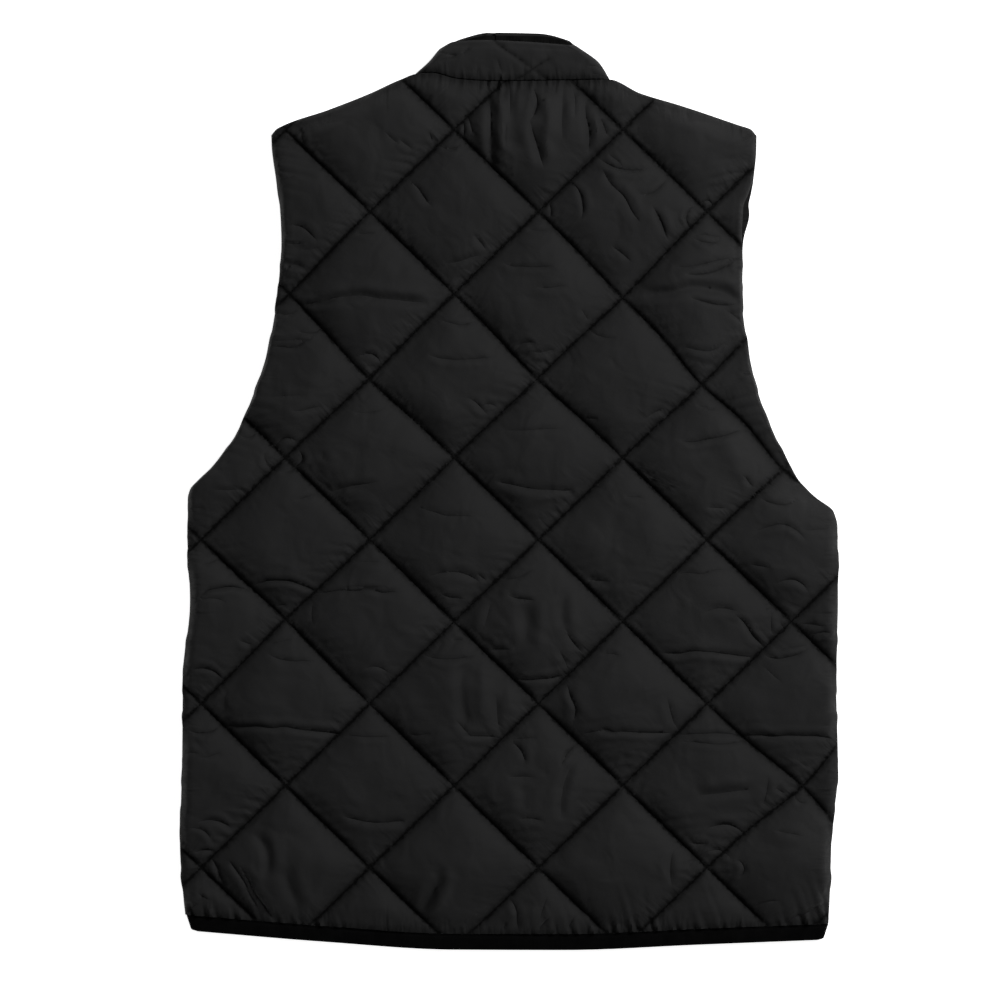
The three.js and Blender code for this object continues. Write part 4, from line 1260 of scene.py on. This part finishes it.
def make_front(is_left):
    """One half of the front: its quilted outside rests flat on the surface."""
    towards = 1 if is_left else -1
    inner_edge = CENTRE_FRONT + towards * LAP_HALF_WIDTH
    step_x = CENTRE_FRONT - towards * (LAP_HALF_WIDTH + LAP_CLEARANCE)
    vs = graded(BODY_HEIGHT, FRONT_STEP, FRONT_END_LINES)
    inner = np.linspace(FRONT_SIDE_LINES[-1], FRONT_WIDTH - LAP_STEP_SLOPE, FRONT_LINES)
    panel = np.concatenate([np.array(FRONT_SIDE_LINES[:-1]), inner]) / FRONT_WIDTH
    lap = np.linspace(0, 1, LAP_LINES)
    share, row = np.meshgrid(np.concatenate([panel, lap]), vs, indexing="ij")
    in_lap = np.meshgrid(np.concatenate([panel * 0, lap * 0 + 1]), vs, indexing="ij")[0] > 0.5
    left, right = sides_at(row)
    outer_edge = left if is_left else right
    x = np.where(in_lap, mix(step_x, inner_edge, share), mix(outer_edge, step_x, share))
    u = (x - left) / (right - left)
    hem, top = ends_at(u)
    top = np.minimum(top, scoop_y(mix(TIP_LEFT[0], TIP_RIGHT[0], u)))
    y = mix(hem, top, row)
    at = place_at(x, y)
    flat_x, flat_y = onto_stitching(x, y, 0.3 * FRONT_STEP)
    inside = smooth((at.side - 4) / 8) * smooth((at.hem - 4) / 8) * smooth((top - y - 4) / 8)
    inside = np.where(np.abs(x - CENTRE_FRONT) < LAP_PLAIN, 0, inside)
    x, y = mix(x, flat_x, inside), mix(y, flat_y, inside)
    layer = layer_height(at) - LAYER_GAP
    lift = 1 - roll(at.side / roll_width(at.v)) * shoulder_roll(at)
    distance = stitch_distance(x, y)
    sunk = UNDERSIDE_GROOVE * np.exp(-((distance / UNDERSIDE_GROOVE_WIDTH) ** 2))
    gathered = np.maximum(quilting_puckers(x, y), 0) * smooth(distance / 6)
    gathered = gathered + UNDERSIDE_CREASES * np.maximum(-creases(x, y, CREASES), 0)
    bottom = np.maximum(layer - BACK_EDGE, 0) * lift + (sunk + gathered) * (1 - lift)
    bottom = np.minimum(bottom, layer - LEAST_FRONT)
    split = lap_height(y)
    if is_left:
        caps = [np.hypot(x - CENTRE_FRONT, y - place) for place in STUD_PLACES]
        dimple = 1 - smooth((np.min(caps, axis=0) - STUD_CAP_RADIUS - 0.5) / 3)
        pressed = bottom * mix(1, 0.3, smooth(share / 0.3))
        bottom = np.where(in_lap, np.maximum(pressed, dimple * (STUD_CAP_DEPTH + 0.3)), bottom)
        layer = np.where(in_lap, split - LAP_CLEARANCE / 2, layer)
    else:
        bottom = np.where(in_lap, split + LAP_CLEARANCE / 2, bottom)
    layer = np.maximum(layer, bottom + LEAST_FRONT)
    along = np.exp(-(((y - FRONT_PEEK_Y) / FRONT_PEEK_REACH) ** 2))
    if not is_left:
        x = x + FRONT_PEEK * along * smooth(1 - at.side / FRONT_PEEK_DEPTH)
        x, y, layer, bottom = (a[::-1] for a in (x, y, layer, bottom))
    name = "quilted_front_left" if is_left else "quilted_front_right"
    return padded_sheet(name, x, y, layer, bottom, shell_cloth, (x, y), False, 4)


# Folded strips: the collar, its inner side and the hem binding

def below(places, lap=None):
    """Stations of the part of a strip that lies underneath."""
    return [(s, "under", lap, 0, 0) for s in places]


def band_stations(middle, half, step, under, over, edge, near_fold=()):
    """Stations from the lap under the left side, over the top and back under the right side."""
    lap_start, lap_end = half + step, half + 2.2 * step
    stations = below(np.linspace(middle + half, middle, 3), "lower")
    stations += below([middle - lap_start], "lower")
    stations += below(np.linspace(middle - lap_end, edge, under))
    stations += below([edge * share for share in near_fold[::-1]])
    stations += [(0, "fold", None, turn, 1) for turn in FOLD_TURNS]
    stations += [(edge * share, "over", None, 0, 0) for share in near_fold]
    stations += [(s, "over", None, 0, 0) for s in np.linspace(edge, 1 - edge, over)]
    stations += [(1 - edge * share, "over", None, 0, 0) for share in near_fold[::-1]]
    stations += [(1, "fold", None, -turn, -1) for turn in FOLD_TURNS]
    stations += below([1 - edge * share for share in near_fold])
    stations += below(np.linspace(1 - edge, middle + lap_end, under))
    stations += below([middle + lap_start], "upper")
    stations += below(np.linspace(middle, middle - half, 3), "upper")
    return stations


def band_point(
    station, left, right, under_y, over_y, top, low, high_inner, lap_z, fold, wall, is_outer
):
    """Points of one station of a strip: z = 0 outside below, and top outside above."""
    s, layer, lap, turn, side = station
    x = mix(left, right, s)
    low_outer, low_inner, inset = low
    if layer == "fold":
        angle = math.radians(turn)
        y = mix(under_y, over_y, (1 + math.sin(angle)) / 2)
        if is_outer:
            middle = (low_outer + top) / 2
            out = fold * (1 - math.cos(angle)) + inset
            return x + side * out, y, middle + (top - middle) * math.sin(angle)
        middle = (low_inner + high_inner) / 2
        out = wall + inset + (high_inner - middle) * (1 - math.cos(angle))
        return x + side * out, y, middle + (high_inner - middle) * math.sin(angle) + 0 * x
    if layer == "over":
        return x, over_y, (top if is_outer else high_inner) + 0 * x
    outer, inner = lap_z[lap] if lap else (low_outer, low_inner)
    return x, under_y, (outer if is_outer else inner) + 0 * x


def quads(a, b, c, d):
    return np.stack([a, b, c, d], -1).reshape(-1, 4)


def folded_band(name, stations, across, place, material, fields=None):
    """A closed strip from its stations and its lines across."""
    sheets = []
    for is_outer in (True, False):
        lines = [np.stack(np.broadcast_arrays(*place(st, across, is_outer)), -1) for st in stations]
        sheets.append(np.stack(lines))
    outer_points, inner_points = sheets
    count = outer_points.shape[0] * outer_points.shape[1]
    outer = np.arange(count).reshape(outer_points.shape[:2])
    inner = outer + count
    faces = [
        quads(outer[:-1, :-1], outer[1:, :-1], outer[1:, 1:], outer[:-1, 1:]),
        quads(inner[:-1, :-1], inner[:-1, 1:], inner[1:, 1:], inner[1:, :-1]),
        quads(outer[:-1, 0], inner[:-1, 0], inner[1:, 0], outer[1:, 0]),
        quads(outer[:-1, -1], outer[1:, -1], inner[1:, -1], inner[:-1, -1]),
        quads(outer[0, :-1], outer[0, 1:], inner[0, 1:], inner[0, :-1]),
        quads(outer[-1, :-1], inner[-1, :-1], inner[-1, 1:], outer[-1, 1:]),
    ]
    points = np.concatenate([outer_points.reshape(-1, 3), inner_points.reshape(-1, 3)])
    return make_object(name, points, faces, material, fields(points) if fields else None)


def round_fold(station, v, out):
    """Share of the collar's width at a station, taken from its real place on the folds."""
    s, layer, _, _, side = station
    if layer != "fold":
        return s
    share = out / (collar_right(v) - collar_left(v))
    return share if side > 0 else 1 - share


def collar_plan(s, v):
    left, right = collar_left(0), collar_right(0)
    back_base = top_y(mix(left, right, s)) + NECK_GAP
    ends = mix(top_y(left), top_y(right), s) + NECK_GAP
    front_base = ends - NECK_DROP * 4 * s * (1 - s)
    under = mix(front_base, collar_front_top(s), v)
    over = mix(back_base, collar_back_top(s), v)
    return collar_left(v), collar_right(v), under, over


def collar_stitch_distance(x, y):
    """Distance from the crossed stitch lines of the collar, of which the second one soon ends."""
    dx, dy = x - COLLAR_CROSSING[0], (y - COLLAR_CROSSING[1]) / COLLAR_QUILT_SLOPE
    bent = dx - dy - 0.012 * np.abs(dx) * dx
    beyond = np.maximum(np.abs(dx) - COLLAR_SHORT_LINE, 0)
    near = np.minimum(np.abs(dx + dy), np.abs(bent) + beyond)
    return near * math.sin(math.atan(COLLAR_QUILT_SLOPE))


def collar_fields(points):
    """The collar's own crossed quilting, for the shell's material."""
    x, y = points[:, 0], points[:, 1]
    return crease_fields(x, y, COLLAR_CREASES) | {
        "stitch": 1.7 * collar_stitch_distance(x, y) + COLLAR_STITCH_LIFT,
        "rising": 0 * x + 0.5,
        "falling": 0 * x + 0.5,
        "edge_away": y - top_y(x),
        "edge_along": x,
    }


def make_collar():
    stations = band_stations(0.5, 0.09, 0.027, 34, 120, 0.06)
    across = np.array([0, 0.02, 0.05, *np.linspace(0.09, 0.9, 18), 0.94, 0.97, 0.99, 1])

    def place(station, v, is_outer):
        s, layer = station[:2]
        turned = 1 - math.cos(math.radians(station[3]))
        out = COLLAR_FOLD * turned if is_outer else COLLAR_WALL + COLLAR_WALL_SWELL * turned
        left, right, under, over = collar_plan(round_fold(station, v, out), v)
        top = COLLAR_SLIT + 2 * SEAM_GAP + collar_pad(v)
        low_outer = 0 * v
        x = mix(left, right, s)
        if layer == "over" and is_outer:
            distance = collar_stitch_distance(x, over)
            ends = between(s, 0.06, 0.94, 0.08)
            stitched = 0.6 * (1 - smooth(distance / 5)) + 0.6 * np.exp(-((distance / 1.1) ** 2))
            seam = ripples(x, v * 25, 6.5, 0.2, 61) * np.exp(-v * 5) * 0.45
            lip = -0.7 * np.exp(-(((v - 0.86) / 0.05) ** 2))
            drift = 0.35 * noise(x, over, 14, 62) + 0.2 * noise(x, over, 6, 63)
            fine = seam + lip + drift * smooth(v * 6) * smooth((1 - v) * 6)
            fine = fine + creases(x, over, COLLAR_CREASES) - stitched
            top = top + ends * fine
        if layer == "under" and is_outer and station[2] is None:
            distance = collar_stitch_distance(x, under)
            low_outer = 0.9 * np.exp(-((distance / 3) ** 2)) * smooth(v * 8) * smooth((1 - v) * 8)
        return band_point(
            station, left, right, under, over, top,
            (low_outer, COLLAR_SLIT - 2 * SEAM_GAP - FACING, 0), COLLAR_SLIT + 2 * SEAM_GAP + FACING,
            {"lower": (0, 2.2), "upper": (3.9, 6)}, COLLAR_FOLD, COLLAR_WALL, is_outer,
        )

    return folded_band("stand_collar", stations, across, place, shell_cloth, collar_fields)


def make_inner_collar():
    stations = band_stations(0.5, 0.09, 0.004, 20, 60, 0.09)

    def place(station, v, is_outer):
        s = station[0]
        v = v * (FACING_FOLD_END if station[1] == "fold" else 1)
        left, right, under, over = collar_plan(round_fold(station, v, FACING_INSET), v)
        uneven = 0.12 * noise(mix(left, right, s), 40 * v, 9, 71)
        inside = COLLAR_SLIT - SEAM_GAP + np.minimum(uneven, 0)
        return band_point(
            station, left, right, under, over, COLLAR_SLIT + SEAM_GAP + FACING,
            (COLLAR_SLIT - SEAM_GAP - FACING, inside, FACING_INSET),
            COLLAR_SLIT + SEAM_GAP,
            {"lower": (2.5, 3.5), "upper": (6.4, 7.6)}, 1.6, 1, is_outer,
        )

    across = np.array([0.02, 0.1, *np.linspace(0.2, 0.9, 12), 0.94, 0.96])
    return folded_band("collar_facing", stations, across, place, facing_cloth)


def make_hem_binding():
    width = HEM_RIGHT[0] - HEM_LEFT[0]
    middle = (CENTRE_FRONT - HEM_LEFT[0]) / width
    half = LAP_HALF_WIDTH / width
    stations = band_stations(middle, half, 0.004, 60, 300, 0.02, [0.5, 0.62, 0.8])

    def place(station, v, is_outer):
        s, layer = station[:2]
        out = BINDING_FOLD * (1 - math.cos(math.radians(station[3])))
        corner = 1 - roll((min(s, 1 - s) * width + out) / BINDING_CORNER)
        x = mix(HEM_LEFT[0], HEM_RIGHT[0], s)
        y = hem_y(x) - SEAM_GAP - v * (BINDING_HEIGHT - 2 * corner)
        top = BINDING_SLIT + 0.3 + binding_pad(v)
        if layer == "over" and is_outer:
            waves = 0.22 * ripples(x + 0 * v, v * 12, 17, 0.2, 81) * smooth(v * 3)
            top = top + waves - 0.5 * np.exp(-(((v - 0.14) / 0.05) ** 2))
        return band_point(
            station, HEM_LEFT[0] + BINDING_TAPER * v, HEM_RIGHT[0] - BINDING_TAPER * v, y, y, top,
            (0 * v, BINDING_SLIT - 0.3, 0), BINDING_SLIT + 0.3,
            {"lower": (0, 1.7), "upper": (2.2, 3.9)}, BINDING_FOLD, 3, is_outer,
        )

    across = np.array([1, 0.97, 0.92, 0.85, 0.75, 0.6, 0.45, 0.3, 0.22, 0.17, 0.13, 0.09, 0.04, 0])
    return folded_band("knit_hem_binding", stations, across, place, binding_cloth)


# Sewing thread

def stitches(lines):
    """Points and faces of small sewn stitches along lines of 3-D points."""
    pitch, length, radius, sides = THREAD_PITCH, THREAD_STITCH, THREAD_RADIUS, THREAD_SIDES
    points, faces = [], []
    ring = [2 * math.pi * k / sides for k in range(sides)]
    for line in lines:
        steps = np.linalg.norm(np.diff(line, axis=0), axis=1)
        run = np.concatenate([[0], np.cumsum(steps)])
        for start in np.arange(pitch / 2, run[-1] - length, pitch):
            ends = [np.array([np.interp(d, run, line[:, k]) for k in range(3)])
                    for d in (start, start + 0.25 * length, start + 0.75 * length, start + length)]
            along = ends[3] - ends[0]
            along = along / np.linalg.norm(along)
            across = np.cross(along, [0, 0, 1])
            across = across / np.linalg.norm(across)
            up = np.cross(across, along)
            base = len(points)
            points.append(ends[0] - up * 0.6 * radius)
            for centre in ends[1:3]:
                points += [centre + radius * (math.cos(a) * across + math.sin(a) * up) for a in ring]
            points.append(ends[3] - up * 0.6 * radius)
            tip = base + 1 + 2 * sides
            for k in range(sides):
                a, b = base + 1 + k, base + 1 + (k + 1) % sides
                faces += [(base, b, a), (a, b, b + sides), (a, b + sides, a + sides)]
                faces.append((tip, a + sides, b + sides))
    return np.array(points), [np.array(faces)]


def lattice_lines(spacing):
    """Plan points along every stitch line of the body, in runs that stay inside it."""
    runs = []
    steps = np.arange(-LATTICE_REACH, LATTICE_REACH, spacing / QUILT_EDGE)
    for family in (0, 1):
        for line in range(-LATTICE_REACH, LATTICE_REACH + 1):
            rising = np.full_like(steps, line) if family == 0 else steps
            falling = steps if family == 0 else np.full_like(steps, line)
            x = QUILT_X + QUILT_HALF_WIDTH * (rising + falling)
            y = QUILT_Y + QUILT_HALF_HEIGHT * (falling - rising)
            for _ in range(3):
                now_rising, now_falling = lattice(x, y)
                dr, df = rising - now_rising, falling - now_falling
                x = x + QUILT_HALF_WIDTH * (dr + df)
                y = y + QUILT_HALF_HEIGHT * (df - dr)
            at = place_at(x, y)
            off = np.hypot(at.x - x, at.y - y)
            inside = (off < 0.2) & (at.side > 2.5) & (at.hem > 2) & (at.top > 2.5)
            cuts = np.flatnonzero(np.diff(inside.astype(int))) + 1
            for part in np.split(np.arange(len(x)), cuts):
                if inside[part[0]] and len(part) > 4:
                    runs.append((x[part], y[part]))
    return runs


def make_quilting_thread():
    lines = []
    for x, y in lattice_lines(1.2):
        lines.append(np.stack([x, y, back_height(place_at(x, y), x, y) + THREAD_LIFT], -1))
    points, faces = stitches(lines)
    return make_object("quilting_thread", points, faces, sewing_thread)


# Press studs

def make_stud_cap(number, y):
    """The domed cap of a press stud, with a rolled rim, seen from below."""
    profile, sides = STUD_CAP_PROFILE, STUD_CAP_SIDES
    turn = np.linspace(0, 2 * math.pi, sides, endpoint=False)
    points = [(CENTRE_FRONT, y, profile[0][1])]
    for radius, z in profile[1:-1]:
        for angle in turn:
            x = CENTRE_FRONT + radius * math.cos(angle)
            points.append((x, y + radius * math.sin(angle), z))
    points.append((CENTRE_FRONT, y, profile[-1][1]))
    faces = []
    last = len(points) - 1
    rings = len(profile) - 2
    for k in range(sides):
        n = (k + 1) % sides
        faces.append(np.array((0, 1 + n, 1 + k)))
        for r in range(rings - 1):
            low, high = 1 + r * sides, 1 + (r + 1) * sides
            faces.append(np.array((low + k, low + n, high + n, high + k)))
        top = 1 + (rings - 1) * sides
        faces.append(np.array((top + k, top + n, last)))
    return make_object(f"press_stud_cap_{number}", np.array(points, float), faces, stud_metal)


def settle(piece, slot, *nodes):
    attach(piece, "root")
    if nodes:
        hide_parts(*nodes)
    return piece


back = settle(make_back(), "shell", "back")
front_left = settle(make_front(True), "shell", "front_left")
front_right = settle(make_front(False), "shell", "front_right")
collar = settle(make_collar(), "shell", "collar")
facing = settle(make_inner_collar(), "facing", "inner_collar")
binding = settle(make_hem_binding(), "binding", "hem_binding")
settle(make_quilting_thread(), "shell")
for number, y in enumerate(STUD_PLACES, 1):
    settle(make_stud_cap(number, y), "studs", f"stud_cap_{number}")
    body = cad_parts[f"stud_body_{number}"]
    body.data.materials.clear()
    body.data.materials.append(stud_metal)


# Floor, light and camera

def make_floor():
    mesh = bpy.data.meshes.new("floor")
    places = ((-1, -1), (1, -1), (1, 1), (-1, 1))
    corners = [(i * FLOOR_SIZE, j * FLOOR_SIZE, FLOOR_HEIGHT) for i, j in places]
    mesh.from_pydata(corners, [], [(0, 1, 2, 3)])
    graph = Graph("pale_floor")
    graph.shade({
        "Base Color": (0.94, 0.94, 0.94, 1),
        "Roughness": 0.9,
        "Specular IOR Level": 0.12,
        "Emission Color": (1, 1, 1, 1),
        "Emission Strength": FLOOR_GLOW,
    })
    mesh.materials.append(graph.material)
    floor = bpy.data.objects.new("floor", mesh)
    bpy.context.scene.collection.objects.link(floor)


def make_light(name, place, size, energy):
    """A square soft light that faces the middle of the vest; place and size are in metres."""
    data = bpy.data.lights.new(name, "AREA")
    data.shape = "SQUARE"
    data.size = size
    data.energy = energy
    light = bpy.data.objects.new(name, data)
    light.location = place
    away = -light.location.normalized()
    light.rotation_euler = away.to_track_quat("-Z", "Y").to_euler()
    bpy.context.scene.collection.objects.link(light)


make_floor()
for light in LIGHTS:
    make_light(*light)

world = bpy.data.worlds.new("studio")
world.use_nodes = True
world.node_tree.nodes["Background"].inputs["Color"].default_value = (1, 1, 1, 1)
world.node_tree.nodes["Background"].inputs["Strength"].default_value = WORLD_STRENGTH
bpy.context.scene.world = world
bpy.context.scene.view_settings.view_transform = "Standard"

camera_data = bpy.data.cameras.new("camera")
camera_data.sensor_width = SENSOR_WIDTH
camera_data.lens = SENSOR_WIDTH * CAMERA_DISTANCE / PICTURE_WIDTH
camera = bpy.data.objects.new("camera", camera_data)
camera.location = (*PICTURE_MIDDLE, CLOTH_HEIGHT + CAMERA_DISTANCE)
bpy.context.scene.collection.objects.link(camera)
bpy.context.scene.camera = camera
